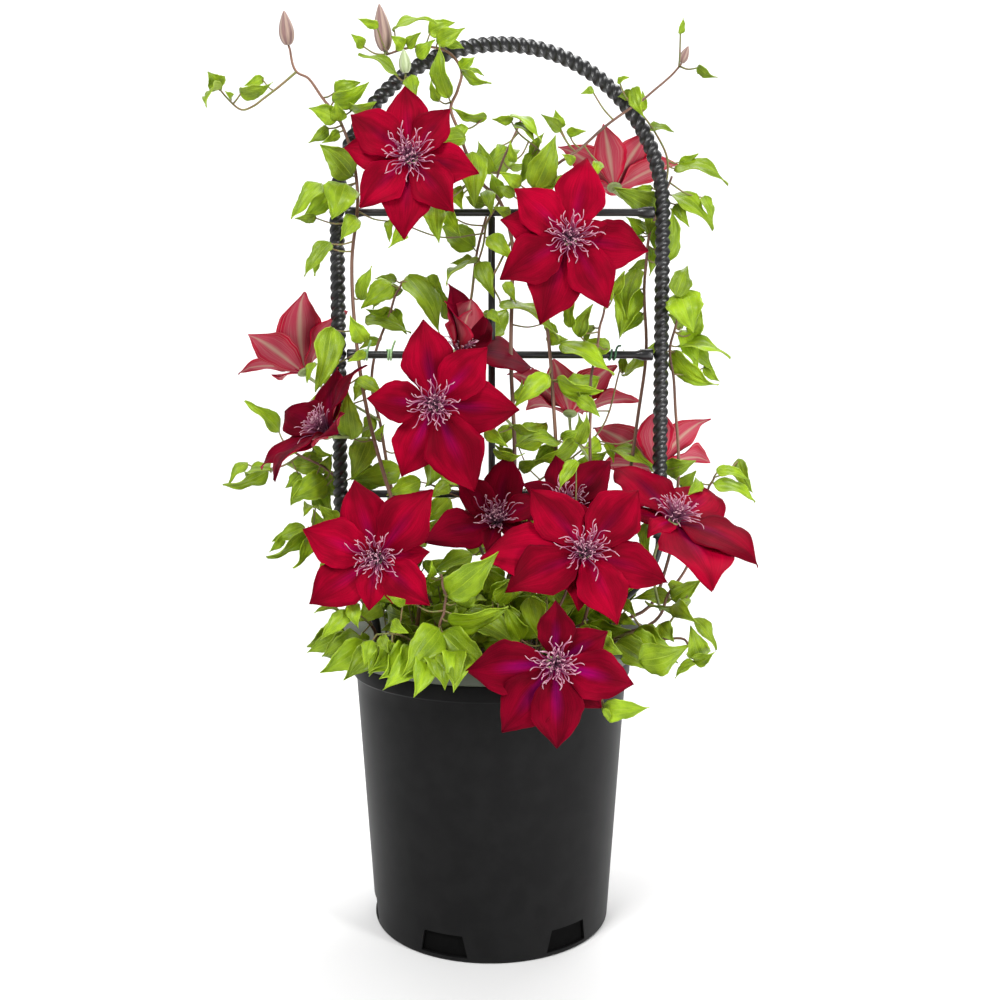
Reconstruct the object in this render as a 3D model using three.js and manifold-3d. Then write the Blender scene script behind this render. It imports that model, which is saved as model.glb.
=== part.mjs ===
// Potted large-flowered clematis on a twisted rod trellis, in a nursery pot.
// Millimetres, +Z up, origin at the centre of the pot's underside, front towards -Y.
import * as THREE from 'three';
import { mergeVertices } from 'three/addons/utils/BufferGeometryUtils.js';
import Module from 'manifold-3d';

const wasm = await Module();
wasm.setup();

// Driving sizes of the pots
const potHeight = 214;
const potFootRadius = 94.3;
const potBodyRadius = 108;
const collarRadius = 111;
const collarHeight = 13;
const potWall = 2.2;
const potFloor = 3;
const notchCount = 6;
const notchWidth = 34;
const notchHeight = 21;
const notchFirstAngle = -82;
const seatGap = 0.3;
const linerWall = 1.5;
const linerClearance = 0.6;
const linerFloorLift = 0.4;
const rimRadius = 128.5;
const rimHeight = 231.5;
const soilHeight = 216;

// Driving sizes of the trellis
const trellisX = 7;
const archRadius = 127;
const archCentreZ = 562;
const rungSpacing = 110;
const rungCount = 3;
const rodSide = 9;
const rodRungRadius = 3;
const quarterTurnsPerRung = 15;
const quarterTurnsOnArch = 54;
const ringStepDegrees = 90;
const twistBottomZ = 306;
const legBottomZ = 150;
const legSoilHalfSpan = 91;

// Driving sizes of the plant
const bladeThickness = 0.7;
const petioleRadius = 0.7;
const smallLeafWidth = 15;
const sepalThickness = 0.8;
const hubRadius = 6.5;
const mergeTolerance = 0.05;
const mergeReach = 2;

const colours = {
  potBlack: [0x2d2d2f, 0.5],
  linerGreen: [0x7b8171, 0.6],
  soil: [0x2a2018, 0.95],
  rodBlack: [0x1b1b1c, 0.45],
  tiePale: [0x9fd48a, 0.6],
  tieDark: [0x2c5b34, 0.6],
  foliage: [0x76a81c, 0.6],
  crimson: [0xa4061f, 0.6],
  maroon: [0x5c0418, 0.6],
  rose: [0xc23050, 0.6],
  stamens: [0x8c4f74, 0.6],
  budPink: [0xb08a7c, 0.7],
  budPale: [0xa9b58c, 0.7],
};

// Blooms: hub centre, the way each one faces, how far its sepals rise, and [angle, length, breadth] of each
const blooms = {
  bloom_1: {
    centre: [-59, -45, 594], facing: [-0.05, -0.99, 0.12], cup: 6, colour: 'crimson', seed: 17,
    sepals: [[-52, 52], [-12, 51], [50, 46], [94, 54], [144, 55], [170, 50], [226, 52], [266, 59]],
  },
  bloom_2: {
    centre: [58, -50, 535], facing: [0.1, -0.99, 0.05], cup: 6, colour: 'crimson', seed: 34,
    sepals: [[-60, 58], [-8, 60], [20, 32, 0.7], [76, 61], [140, 54], [166, 52], [210, 60], [250, 66]],
  },
  bloom_3: {
    centre: [-41, -62, 413], facing: [0, -1, 0.05], cup: 5, colour: 'crimson', seed: 51,
    sepals: [[-66, 70], [-4, 62], [46, 57], [98, 63], [174, 50], [244, 58]],
  },
  bloom_4: {
    centre: [-81, -90, 303], facing: [-0.12, -0.97, 0.19], cup: 10, colour: 'crimson', seed: 68,
    sepals: [[-40, 52], [8, 38], [52, 64], [108, 59], [160, 58], [216, 59], [264, 38]],
  },
  bloom_5: {
    centre: [68, -88, 306], facing: [0.05, -0.86, 0.51], cup: 8, colour: 'crimson', seed: 85,
    sepals: [[-72, 59], [-20, 62], [48, 65], [96, 43], [126, 62], [182, 75], [208, 65], [260, 43]],
  },
  bloom_6: {
    centre: [44, -142, 239], facing: [0.05, -0.99, 0.12], cup: 4, colour: 'crimson', seed: 102,
    sepals: [[-88, 58], [-44, 45], [-16, 56], [30, 42], [88, 42], [184, 60], [232, 59]],
  },
  bloom_7: {
    centre: [5, -34, 322], facing: [-0.1, -0.8, 0.6], cup: 22, colour: 'maroon', seed: 119,
    sepals: [
      [22, 44, 0.85], [84, 56, 0.95], [134, 48, 0.9], [206, 60], [262, 34, 0.7], [328, 46, 0.75],
    ],
  },
  bloom_8: {
    centre: [-8, -27, 457], facing: [0.52, -0.36, 0.78], cup: 45, colour: 'maroon', seed: 136,
    sepals: [
      [-96, 56, 0.85], [-56, 58, 0.8], [-18, 54, 0.75], [90, 62, 0.85], [135, 62, 0.8], [182, 56, 0.8],
    ],
  },
  bloom_9: {
    centre: [-152, 28, 439], facing: [-0.5, 0.35, 0.8], cup: 35, colour: 'rose', seed: 153,
    sepals: [
      [-50, 54, 0.85], [10, 60, 0.85], [68, 70, 0.9], [124, 62, 0.85], [180, 58, 0.85], [240, 60, 0.85],
    ],
  },
  bloom_10: {
    centre: [-122, -40, 391], facing: [-0.65, -0.4, 0.64], cup: 24, colour: 'maroon', seed: 170,
    sepals: [
      [-70, 66, 0.9], [-10, 60, 0.9], [60, 62, 0.9], [118, 62, 0.9], [176, 60, 0.9], [234, 60, 0.9],
    ],
  },
  bloom_11: {
    centre: [100, 40, 588], facing: [0.05, 0.57, 0.82], cup: 36, colour: 'rose', seed: 187,
    sepals: [
      [-104, 50, 0.85], [-35, 56, 0.85], [20, 58, 0.85], [78, 52, 0.85], [130, 52, 0.85],
      [184, 60, 0.85],
    ],
  },
  bloom_12: {
    centre: [65, 42, 405], facing: [0.1, 0.5, 0.86], cup: 33, colour: 'rose', seed: 204,
    sepals: [
      [-96, 50, 0.85], [-40, 66, 0.9], [20, 62, 0.9], [78, 54, 0.9], [140, 58, 0.9], [206, 66, 0.9],
    ],
  },
  bloom_13: {
    centre: [137, 40, 360], facing: [-0.1, 0.61, 0.79], cup: 30, colour: 'rose', seed: 221,
    sepals: [
      [-94, 50, 0.9], [-36, 56, 0.9], [20, 64, 0.9], [80, 58, 0.9], [140, 60, 0.9], [206, 72, 0.9],
    ],
  },
  bloom_14: {
    centre: [139, -44, 324], facing: [0.2, -0.46, 0.87], cup: 8, colour: 'crimson', seed: 238,
    sepals: [
      [-150, 40, 0.8], [-98, 84, 1.1], [-58, 72, 1.1], [30, 66, 1.1], [108, 72, 1.15], [160, 40, 0.9],
    ],
  },
  bloom_15: {
    centre: [58, -45, 334], facing: [0, -0.8, 0.6], cup: 15, colour: 'maroon', seed: 255,
    sepals: [
      [-100, 24, 0.7], [-12, 46, 0.85], [48, 52, 0.95], [100, 46, 0.9], [152, 40, 0.8], [200, 32, 0.8],
    ],
  },
};

// Leafy stems: foot in the soil, main shoot, side shoots, flower stalks and leaves.
// A leaf is its foot, its tip and the width that shows from the front.
const stems = {
  left_tall: {
    radii: [1.7, 0.9],
    path: [
      [-60, -30, 186], [-60, -30, 222], [-55, -32, 270], [-82, -24, 355], [-97, -20, 417],
      [-105, -19, 470], [-106, -18, 522], [-102, -18, 568], [-106, -17, 606], [-115, -15, 628],
      [-126, -12, 643], [-139, -8, 661], [-149, -5, 667], [-153, -3, 679], [-156, 0, 688],
    ],
    side: [
      [[-149, -5, 667], [-162, -6, 656], [-175, -7, 646], [-182, -7, 641], [-191, -8, 638], [-203, -8, 648],
        [-207, -8, 653]],
    ],
    stalks: [[[-92, -21, 397], [-107, -24, 389], [-119.5, -38.5, 388.5]]],
    leaves: [
      [-116, -20, 628, -136, -28, 635, 15],
      [-120, -17, 642, -91, -25, 653, 12],
      [-105, -23, 585, -128, -31, 607, 23],
      [-128, -23, 580, -150, -31, 552, 15],
      [-110, -23, 580, -120, -31, 552, 27],
      [-102, -23, 555, -113, -31, 537, 14],
      [-122, -23, 536, -141, -31, 510, 14],
      [-96, -24, 461, -107, -32, 480, 14],
      [-122, -24, 472, -134, -32, 423, 20],
      [-107, -25, 386, -109, -33, 425, 20],
      [-102, -25, 433, -81, -33, 420, 11],
    ],
  },
  left_back: {
    radii: [1.7, 0.9],
    path: [
      [-45, 25, 186], [-45, 25, 222], [-51, 22, 252], [-78, 18, 327], [-87, 16, 384], [-93, 15, 412],
      [-96, 14, 439], [-86, 14, 472], [-77, 13, 496], [-71, 12, 510],
    ],
    side: [],
    stalks: [[[-90, 15, 400], [-112, 18, 413], [-131, 24, 423], [-150.1, 26.7, 435.9]]],
    leaves: [
      [-59, 27, 280, -80, 19, 299, 20],
      [-67, 23, 302, -43, 15, 319, 20],
      [-79, 17, 509, -103, 9, 489, 19],
      [-67, 17, 515, -39, 9, 470, 21],
      [-101, 19, 482, -64, 11, 470, 14],
      [-97, 20, 404, -105, 12, 380, 11],
      [-74, 21, 360, -112, 13, 352, 21],
      [-76, 21, 374, -57, 13, 392, 15],
      [-85, 23, 335, -58, 15, 347, 16],
    ],
  },
  centre_tall: {
    radii: [1.8, 0.9],
    path: [
      [5, -22, 186], [5, -22, 222], [13, -16, 259], [17, -14, 323], [18, -13, 385], [16, -13, 447],
      [16, -12, 501], [16, -12, 539], [7, -12, 569], [-7, -12, 582], [-17, -14, 601], [-23, -14, 618],
      [-31, -14, 638], [-25, -13, 651], [-22, -12, 665], [-33, -11, 680], [-50, -11, 684],
      [-67, -11, 682], [-80, -11, 678],
    ],
    side: [
      [[16, -12, 539], [7, -14, 522], [1, -16, 507], [7, -16, 493]],
      [[7, -12, 569], [-3, -10, 553], [-6, -8, 536], [-13, -5, 513], [-17, -4, 485]],
      [[-23, -14, 618], [-39, -17, 622], [-55, -20, 639], [-64, -22, 653], [-64, -22, 661]],
    ],
    stalks: [
      [[18, -13, 395], [-5, -15, 420], [-19, -17, 440], [-10, -25.6, 454]],
      [[-22, -14, 615], [-38, -26, 604], [-58.8, -41.2, 593.5]],
      [[16, -12, 522], [33, -28, 531], [57.6, -46.2, 534.8]],
      [[17, -13, 413], [-8, -34, 411], [-41, -58.1, 412.8]],
      [[16, -15, 303], [11, -20, 312], [5.4, -30.9, 319.7]], [[-80, -11, 678], [-80.2, -12, 680]],
    ],
    leaves: [
      [7, -21, 267, -12, -29, 288, 19],
      [10, -21, 292, 27, -29, 304, 16],
      [-41, -16, 686, -19, -24, 693, 14],
      [-60, -27, 658, -56, -35, 636, 12],
      [-32, -19, 644, -39, -27, 681, 14],
      [-43, -17, 565, -40, -25, 536, 17],
      [-34, -15, 560, -23, -23, 541, 11],
      [-19, -19, 614, -57, -27, 607, 17],
      [-15, -19, 604, -12, -27, 562, 23],
      [-2, -13, 542, 18, -21, 522, 14],
      [-8, -10, 523, 2, -18, 495, 15],
      [7, -21, 490, 54, -29, 466, 11],
      [-5, -18, 393, 13, -26, 381, 11],
      [-48, -19, 350, -50, -45, 384, 12],
      [-55, -19, 354, -82, -15, 342, 16],
    ],
  },
  right_top: {
    radii: [1.7, 0.8],
    path: [
      [25, -16, 186], [25, -16, 222], [45, -14, 259], [51, -13, 322], [51, -13, 385], [47, -13, 432],
      [43, -13, 478], [38, -14, 522], [33, -14, 565], [47, -14, 592], [68, -13, 608], [86, -13, 623],
      [109, -12, 640], [121, -9, 649], [136, -5, 662], [146, -2, 674],
    ],
    side: [[[47, -14, 592], [37, -15, 606], [21, -16, 619], [14, -17, 630]]],
    stalks: [],
    leaves: [
      [33, -19, 577, 48, -27, 615, 23],
      [37, -19, 577, 54, -15, 588, 11],
      [44, -18, 436, 18, -26, 411, 17],
      [51, -18, 433, 86, -26, 423, 11],
      [67, -18, 386, 34, -14, 367, 14],
      [45, -18, 347, 10, -26, 327, 11],
    ],
  },
  right_tall: {
    radii: [1.7, 0.9],
    path: [
      [56, 36, 186], [56, 36, 222], [85, 33, 235], [101, 22, 286], [111, 16, 352], [120, 15, 416],
      [124, 15, 464], [122, 15, 512], [125, 14, 543], [130, 14, 562], [137, 14, 578], [142, 12, 592],
    ],
    side: [[[137, 14, 578], [139, 14, 605], [129, 14, 626], [117, 14, 642]]],
    stalks: [[[135, 14, 574], [119, 24, 574], [106, 34, 579], [99.8, 37.8, 584.8]]],
    leaves: [
      [104, 38, 250, 125, 30, 273, 18],
      [145, 17, 599, 187, 9, 588, 14],
      [143, 19, 579, 175, 11, 550, 16],
      [134, 19, 565, 97, 11, 583, 22],
      [136, 20, 526, 143, 12, 567, 18],
      [117, 20, 520, 105, 4, 483, 16],
      [113, 20, 507, 103, 12, 466, 24],
      [88, 21, 384, 71, 13, 372, 13],
      [97, 21, 376, 135, 13, 357, 11],
    ],
  },
  right_mid: {
    radii: [1.6, 0.9],
    path: [
      [78, 12, 186], [78, 12, 222], [130, 16, 249], [144, 18, 286], [151, 18, 335], [150, 16, 392],
      [146, 14, 432], [143, 12, 460], [148, 8, 481], [152, 5, 498],
    ],
    side: [],
    stalks: [[[151, 17, 352], [145, 28, 356], [137.4, 37.7, 357]]],
    leaves: [
      [144, -6, 497, 155, 6, 522, 17],
      [148, 0, 501, 157, -8, 469, 30],
      [150, 17, 460, 191, 9, 452, 11],
      [145, 17, 455, 180, 9, 427, 16],
      [119, 11, 456, 107, 35, 435, 11],
      [141, 23, 360, 165, 15, 367, 16],
    ],
  },
  right_reach: {
    radii: [1.5, 0.9],
    path: [
      [86, -14, 186], [86, -14, 222], [129, -20, 243], [141, -8, 262], [160, 4, 288], [170, 8, 320],
      [173, 4, 343], [177, 0, 355],
    ],
    side: [],
    stalks: [
      [[134, -15, 251], [133, -18, 253], [126, -30, 281], [127, -38, 304], [138.2, -42.2, 320.7]],
    ],
    leaves: [
      [143, -13, 259, 165, -21, 276, 16],
      [176, -5, 350, 208, -13, 338, 11],
    ],
  },
  far_left: {
    radii: [1.5, 0.9],
    path: [
      [-80, 12, 186], [-80, 12, 222], [-76, 14, 244], [-95, 13, 299], [-114, 13, 336], [-134, 13, 362],
      [-154, 11, 372], [-166, 8, 383],
    ],
    side: [[[-154, 11, 372], [-167, 10, 364], [-176, 9, 362]]],
    stalks: [],
    leaves: [
      [-88, 19, 270, -111, 11, 286, 18],
      [-180, 14, 360, -214, 6, 346, 11],
      [-137, 18, 368, -168, 22, 363, 18],
      [-134, 18, 353, -161, 10, 338, 24],
      [-131, 18, 360, -123, 42, 333, 19],
      [-110, 18, 357, -84, 22, 347, 21],
      [-142, 24, 343, -128, 16, 319, 16],
      [-147, 18, 350, -164, 18, 331, 16],
    ],
  },
  low_left: {
    radii: [1.5, 0.9],
    path: [
      [-88, -22, 186], [-88, -22, 222], [-91, -46, 245], [-102, -50, 273], [-121, -46, 299],
      [-137, -42, 316],
    ],
    side: [[[-91, -46, 245], [-95, -70, 256], [-101, -84, 264]]],
    stalks: [[[-99, -49, 265], [-89, -68, 282], [-80.5, -86.3, 302.3]]],
    leaves: [
      [-89, -55, 274, -112, -63, 287, 15],
      [-84, -51, 263, -101, -59, 250, 17],
      [-80, -55, 279, -69, -31, 295, 15],
      [-102, -89, 264, -122, -97, 245, 13],
    ],
  },
  low_front: {
    radii: [1.5, 0.9],
    path: [
      [-32, -58, 186], [-32, -58, 222], [-40, -86, 239], [-35, -100, 259], [-32, -96, 274],
      [-36, -88, 291],
    ],
    side: [[[-40, -86, 239], [-56, -100, 245], [-67, -110, 252], [-80, -112, 252]]],
    stalks: [],
    leaves: [
      [-55, -105, 273, -69, -81, 287, 17],
      [-15, -99, 245, -2, -87, 263, 19],
      [-24, -101, 272, -9, -97, 287, 17],
      [-44, -91, 238, -51, -87, 219, 16],
      [-83, -117, 249, -87, -125, 233, 11],
      [-36, -105, 255, -60, -131, 226, 24],
      [-37, -91, 245, -26, -99, 215, 14],
      [-34, -105, 252, 2, -113, 225, 27],
      [-30, -105, 260, 13, -113, 272, 18],
      [-30, -101, 278, 6, -109, 310, 24],
      [-18, -101, 265, 19, -89, 240, 17],
    ],
  },
  front_right: {
    radii: [1.5, 0.9],
    path: [
      [34, -52, 186], [34, -52, 222], [38, -66, 234], [52, -58, 262], [61, -54, 288], [63, -56, 311],
    ],
    side: [[[38, -66, 234], [54, -100, 242], [70, -120, 233], [78, -133, 209]]],
    stalks: [
      [[58, -55, 279], [61, -54, 278], [66, -70, 293], [67.8, -84.7, 304]],
      [[41, -73, 236], [40, -72, 241], [41, -104, 243], [43.8, -138.2, 238.5]],
    ],
    leaves: [
      [22, -71, 239, 10, -79, 266, 18],
      [50, -105, 247, 70, -113, 243, 16],
      [76, -125, 251, 91, -133, 243, 14],
      [29, -63, 270, 37, -71, 238, 18],
      [64, -61, 372, 51, -69, 351, 10],
      [77, -138, 205, 108, -146, 209, 16],
    ],
  },
  mid_right: {
    radii: [1.6, 0.9],
    path: [
      [60, -22, 186], [60, -22, 222], [74, -24, 246], [76, -24, 308], [77, -22, 380], [77, -20, 426],
      [83, -17, 465], [87, -17, 486],
    ],
    side: [],
    stalks: [
      [[77, -22, 369], [71, 4, 380], [65, 34, 392], [64.6, 40.1, 401.7]],
      [[76, -24, 317], [67, -33, 327], [58, -41.9, 331.7]],
    ],
    leaves: [
      [88, -29, 262, 110, -37, 276, 17],
      [53, -22, 459, 95, -30, 437, 15],
      [67, -22, 465, 77, -30, 489, 12],
      [67, -25, 418, 83, -33, 404, 12],
      [67, -27, 383, 74, -35, 406, 11],
    ],
  },
  low_right: {
    radii: [1.4, 0.9],
    path: [
      [78, -34, 186], [78, -34, 222], [107, -44, 233], [115, -46, 243], [130, -46, 235],
      [147, -50, 235], [155, -52, 223],
    ],
    side: [
      [[130, -46, 235], [139, -44, 250], [146, -42, 259], [151, -40, 267]],
      [[115, -46, 243], [108, -46, 253], [100, -46, 265]],
    ],
    stalks: [],
    leaves: [
      [140, -47, 262, 152, -73, 253, 14],
      [108, -93, 229, 142, -101, 240, 25],
      [159, -57, 222, 150, -65, 248, 18],
      [155, -47, 251, 171, -55, 228, 11],
    ],
  },
  back: {
    radii: [1.7, 0.9],
    path: [
      [0, 62, 186], [0, 62, 222], [7, 50, 247], [-18, 30, 318], [-34, 24, 384], [-27, 22, 449],
      [-17, 22, 496], [-9, 22, 544], [7, 22, 599], [23, 22, 637],
    ],
    side: [[[-18, 30, 318], [40, 30, 351], [89, 26, 392], [104, 22, 441]]],
    stalks: [],
    leaves: [
      [-20, 80, 250, -50, 110, 262, 26],
      [10, 84, 247, 22, 129, 241, 28],
      [40, 85, 250, 80, 112, 262, 26],
      [-60, 85, 242, -99, 92, 237, 26],
      [70, 70, 246, 112, 80, 258, 24],
      [0, 62, 290, -30, 80, 306, 26],
      [12, 56, 304, 44, 72, 320, 26],
      [-20, 40, 350, -50, 62, 366, 26],
      [20, 38, 380, 48, 60, 398, 24],
      [-30, 34, 430, -58, 50, 450, 24],
      [-10, 34, 470, 14, 54, 492, 24],
      [59, 14, 420, 89, 24, 435, 23],
      [-14, 36, 540, -42, 52, 560, 22],
      [0, 34, 600, 24, 50, 622, 20],
      [90, 50, 300, 124, 64, 318, 24],
      [-80, 50, 300, -112, 66, 316, 24],
    ],
  },
};

// Buds: foot and tip
const buds = {
  bud_left: { foot: [-156, -0.1, 688.4], tip: [-158, -4, 713], width: 11.5, colour: 'budPink' },
  bud_top: { foot: [-80.3, -12, 680.4], tip: [-84, -16, 714], width: 12.9, colour: 'budPink' },
  bud_pale: { foot: [-64, -22.1, 661.4], tip: [-65, -26, 678], width: 9, colour: 'budPale' },
  bud_right: { foot: [146.1, -2.1, 674.4], tip: [151, -6, 686], width: 6.9, colour: 'budPink' },
};

// Plant ties round the rungs
const ties = {
  tie_left: { x: -99, rung: 1, width: 4, thickness: 0.8, colour: 'tiePale' },
  tie_middle: { x: -80, rung: 1, width: 4, thickness: 0.8, colour: 'tiePale' },
  tie_right: { x: 95, rung: 1, width: 7, thickness: 1.2, colour: 'tieDark' },
};

// Small helpers for vectors, random draws and solids
const v3 = (p) => new THREE.Vector3(p[0], p[1], p[2]);
const up = new THREE.Vector3(0, 0, 1);
const towardsFront = new THREE.Vector3(0, -1, 0);
const radians = THREE.MathUtils.degToRad;

function draw(seed) {
  const value = Math.sin(seed * 12.9898) * 43758.5453;
  return value - Math.floor(value);
}

function solidOf(geometry) {
  const bare = geometry.index ? geometry.clone() : geometry;
  bare.deleteAttribute('normal');
  bare.deleteAttribute('uv');
  const merged = mergeVertices(bare, 1e-4);
  return new wasm.Manifold(new wasm.Mesh({
    numProp: 3,
    vertProperties: Float32Array.from(merged.attributes.position.array),
    triVerts: Uint32Array.from(merged.index.array),
  }));
}

function solidFromLists(points, triangles) {
  return new wasm.Manifold(new wasm.Mesh({
    numProp: 3,
    vertProperties: Float32Array.from(points.flatMap((p) => [p.x, p.y, p.z])),
    triVerts: Uint32Array.from(triangles.flat()),
  }));
}

function join(solids) {
  let whole = solids[0];
  for (const next of solids.slice(1)) {
    whole = whole.add(next);
  }
  return whole;
}

function largestPiece(solid) {
  const pieces = solid.decompose();
  pieces.sort((a, b) => b.volume() - a.volume());
  return pieces[0];
}

// Axis frame across a direction: side and normal, the normal facing the front
function frameAlong(direction, seenFrom) {
  const normal = seenFrom.clone().addScaledVector(direction, -seenFrom.dot(direction));
  if (normal.lengthSq() < 1e-3) {
    normal.copy(up).addScaledVector(direction, -up.dot(direction));
  }
  normal.normalize();
  const side = new THREE.Vector3().crossVectors(direction, normal);
  return { side, normal };
}

// Round bar through points, tapering from one radius to another, flat at both ends
function tube(points, startRadius, endRadius, sides, steps) {
  const curve = points.length > 2 ? new THREE.CatmullRomCurve3(points, false, 'centripetal') : null;
  const count = curve ? steps : 1;
  const at = (t) => (curve ? curve.getPoint(t) : points[0].clone().lerp(points[1], t));
  const ringPoints = [];
  let reference = towardsFront.clone();
  for (let i = 0; i <= count; i += 1) {
    const t = i / count;
    const here = at(t);
    const ahead = at(Math.min(1, t + 0.02)).sub(at(Math.max(0, t - 0.02))).normalize();
    const { side, normal } = frameAlong(ahead, reference);
    reference = normal.clone();
    const radius = startRadius + (endRadius - startRadius) * t;
    for (let k = 0; k < sides; k += 1) {
      const angle = (2 * Math.PI * k) / sides;
      ringPoints.push(here.clone()
        .addScaledVector(normal, radius * Math.cos(angle))
        .addScaledVector(side, radius * Math.sin(angle)));
    }
  }
  return solidFromLists(ringPoints, ringTriangles(count + 1, sides));
}

// Triangles of a closed skin over rings of points, wound outward
function ringTriangles(rings, sides) {
  const triangles = [];
  for (let i = 0; i + 1 < rings; i += 1) {
    for (let k = 0; k < sides; k += 1) {
      const a = i * sides + k;
      const b = i * sides + ((k + 1) % sides);
      triangles.push([a, b, a + sides], [b, b + sides, a + sides]);
    }
  }
  for (let k = 1; k + 1 < sides; k += 1) {
    const last = (rings - 1) * sides;
    triangles.push([0, k + 1, k], [last, last + k, last + k + 1]);
  }
  return triangles;
}

// Blade from rows of two or three points, left to right, and a pointed tip; alike on both faces
function bladeSolid(rows, tip, normal, thickness) {
  const top = rows.flat();
  const starts = rows.map((row, i) => rows.slice(0, i).reduce((sum, r) => sum + r.length, 0));
  const faces = [];
  for (let i = 0; i + 1 < rows.length; i += 1) {
    const a = starts[i];
    const b = starts[i + 1];
    if (rows[i + 1].length === 2) {
      faces.push([a, a + 1, b], [a + 1, b + 1, b]);
    } else if (rows[i].length === 2) {
      faces.push([a, b + 1, b], [a, a + 1, b + 1], [a + 1, b + 2, b + 1]);
    } else {
      faces.push([a, a + 1, b], [a + 1, b + 1, b], [a + 1, a + 2, b + 2], [a + 1, b + 2, b + 1]);
    }
  }
  const last = starts[rows.length - 1];
  const tipIndex = top.length;
  top.push(tip);
  faces.push([last, last + 1, tipIndex], [last + 1, last + 2, tipIndex]);
  const rightSide = rows.map((row, i) => starts[i] + row.length - 1);
  const leftSide = [...starts].reverse();
  const rim = [...rightSide, tipIndex, ...leftSide];
  const count = top.length;
  const below = top.map((p) => p.clone().addScaledVector(normal, -thickness));
  const triangles = [...faces];
  for (const f of faces) {
    triangles.push([f[0] + count, f[2] + count, f[1] + count]);
  }
  rim.forEach((a, i) => {
    const b = rim[(i + 1) % rim.length];
    triangles.push([a, a + count, b], [b, a + count, b + count]);
  });
  return solidFromLists([...top, ...below], triangles);
}

// Leaf: ovate, pointed, folded along its midrib, with waved edges
const leafStations = [[0.3, 1.0], [0.66, 0.68]];

function leafFrame(base, tip, seenWidth, seed) {
  const axis = tip.clone().sub(base);
  const length = axis.length();
  axis.normalize();
  const { side, normal } = frameAlong(axis, towardsFront);
  const fullWidth = Math.max(seenWidth, 0.46 * length);
  const roll = Math.acos(Math.min(1, seenWidth / fullWidth)) * (draw(seed) < 0.5 ? -1 : 1);
  const turnedNormal = normal.clone().multiplyScalar(Math.cos(roll)).addScaledVector(side, Math.sin(roll));
  const turnedSide = side.clone().multiplyScalar(Math.cos(roll)).addScaledVector(normal, -Math.sin(roll));
  return { axis, length, side: turnedSide, normal: turnedNormal, width: fullWidth };
}

function leafPoint(base, f, t, across, seed) {
  const bow = 0.1 * f.length * Math.sin(Math.PI * t);
  const fold = 0.18 * Math.abs(across);
  const phase = 6.3 * draw(seed + 3) + (across > 0 ? 1.6 : 0);
  const waved = across === 0 ? 0 : 0.05 * f.width * Math.sin(9 * t + phase);
  return base.clone()
    .addScaledVector(f.axis, f.length * t)
    .addScaledVector(f.side, across)
    .addScaledVector(f.normal, bow + fold + waved);
}

// The stalk is the first stretch of the leaf's own blade, from the stem to the leaf's foot
function leafBlade(from, base, tip, seenWidth, seed, extra = 0) {
  const f = leafFrame(base, tip, seenWidth, seed);
  const stations = seenWidth < smallLeafWidth ? [leafStations[0]] : leafStations;
  const half = f.width / 2 + extra;
  const stalkHalf = petioleRadius + extra;
  const stalkFrame = frameAlong(base.clone().sub(from).normalize(), f.normal);
  const rows = [
    [-stalkHalf, stalkHalf].map((across) => from.clone().addScaledVector(stalkFrame.side, across)),
    [-stalkHalf, stalkHalf].map((across) => leafPoint(base, f, 0, across, seed)),
  ];
  for (const [t, w] of stations) {
    rows.push([-w * half, 0, w * half].map((across) => leafPoint(base, f, t, across, seed)));
  }
  const lift = extra + bladeThickness / 2;
  const lifted = (p) => p.addScaledVector(f.normal, lift);
  rows.forEach((row) => row.forEach(lifted));
  const tipPoint = lifted(leafPoint(base, f, 1 + extra / f.length, 0, seed));
  return bladeSolid(rows, tipPoint, f.normal, bladeThickness + 2 * extra);
}

// Bloom: sepals in an imbricate ring on a hub, and a boss of stamens in front of it
function bloomFrame(bloom) {
  const centre = v3(bloom.centre);
  const facing = v3(bloom.facing).normalize();
  const right = new THREE.Vector3().crossVectors(up, facing).normalize();
  const upward = new THREE.Vector3().crossVectors(facing, right).normalize();
  return { centre, facing, right, upward };
}

function sepalFrame(frame, angle) {
  const turn = radians(angle);
  const outward = frame.right.clone().multiplyScalar(Math.cos(turn))
    .addScaledVector(frame.upward, Math.sin(turn));
  const side = new THREE.Vector3().crossVectors(outward, frame.facing);
  return { outward, side };
}

const sepalStations = [[0.35, 0.76], [0.64, 0.94]];
const layerLift = 2;

// Sepals lie in two layers by turns; where their number is odd the last one lies between the layers
function layerOf(bloom, order) {
  const odd = bloom.sepals.length % 2 === 1;
  if (odd && order === bloom.sepals.length - 1) {
    return 0;
  }
  return order % 2 === 0 ? layerLift : -layerLift;
}

// A sepal is [angle, length, breadth, extra rise]; its edges wrap round the bloom's axis when it is cupped
function sepalPoint(bloom, frame, order, t, across) {
  const sepal = bloom.sepals[order];
  const [angle, length, , rise = 0] = sepal;
  const { outward, side } = sepalFrame(frame, angle);
  const cup = radians(bloom.cup + rise);
  const run = 2 + (length - 2) * t;
  const bow = 0.055 * length * Math.sin(Math.PI * t);
  const droop = 0.06 * length * t * t * t;
  const wrap = (Math.sin(cup) * across * across) / (2 * Math.max(8, run * Math.cos(cup)));
  const inward = sepalNormal(frame, outward, cup);
  return frame.centre.clone()
    .addScaledVector(outward, run * Math.cos(cup) - wrap)
    .addScaledVector(frame.facing, (run - 2) * Math.sin(cup))
    .addScaledVector(side, across)
    .addScaledVector(inward, bow - droop + 0.03 * Math.abs(across))
    .addScaledVector(inward, layerOf(bloom, order) * Math.min(1, 4 * t));
}

function sepalNormal(frame, outward, cup) {
  return frame.facing.clone().multiplyScalar(Math.cos(cup)).addScaledVector(outward, -Math.sin(cup));
}

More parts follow.
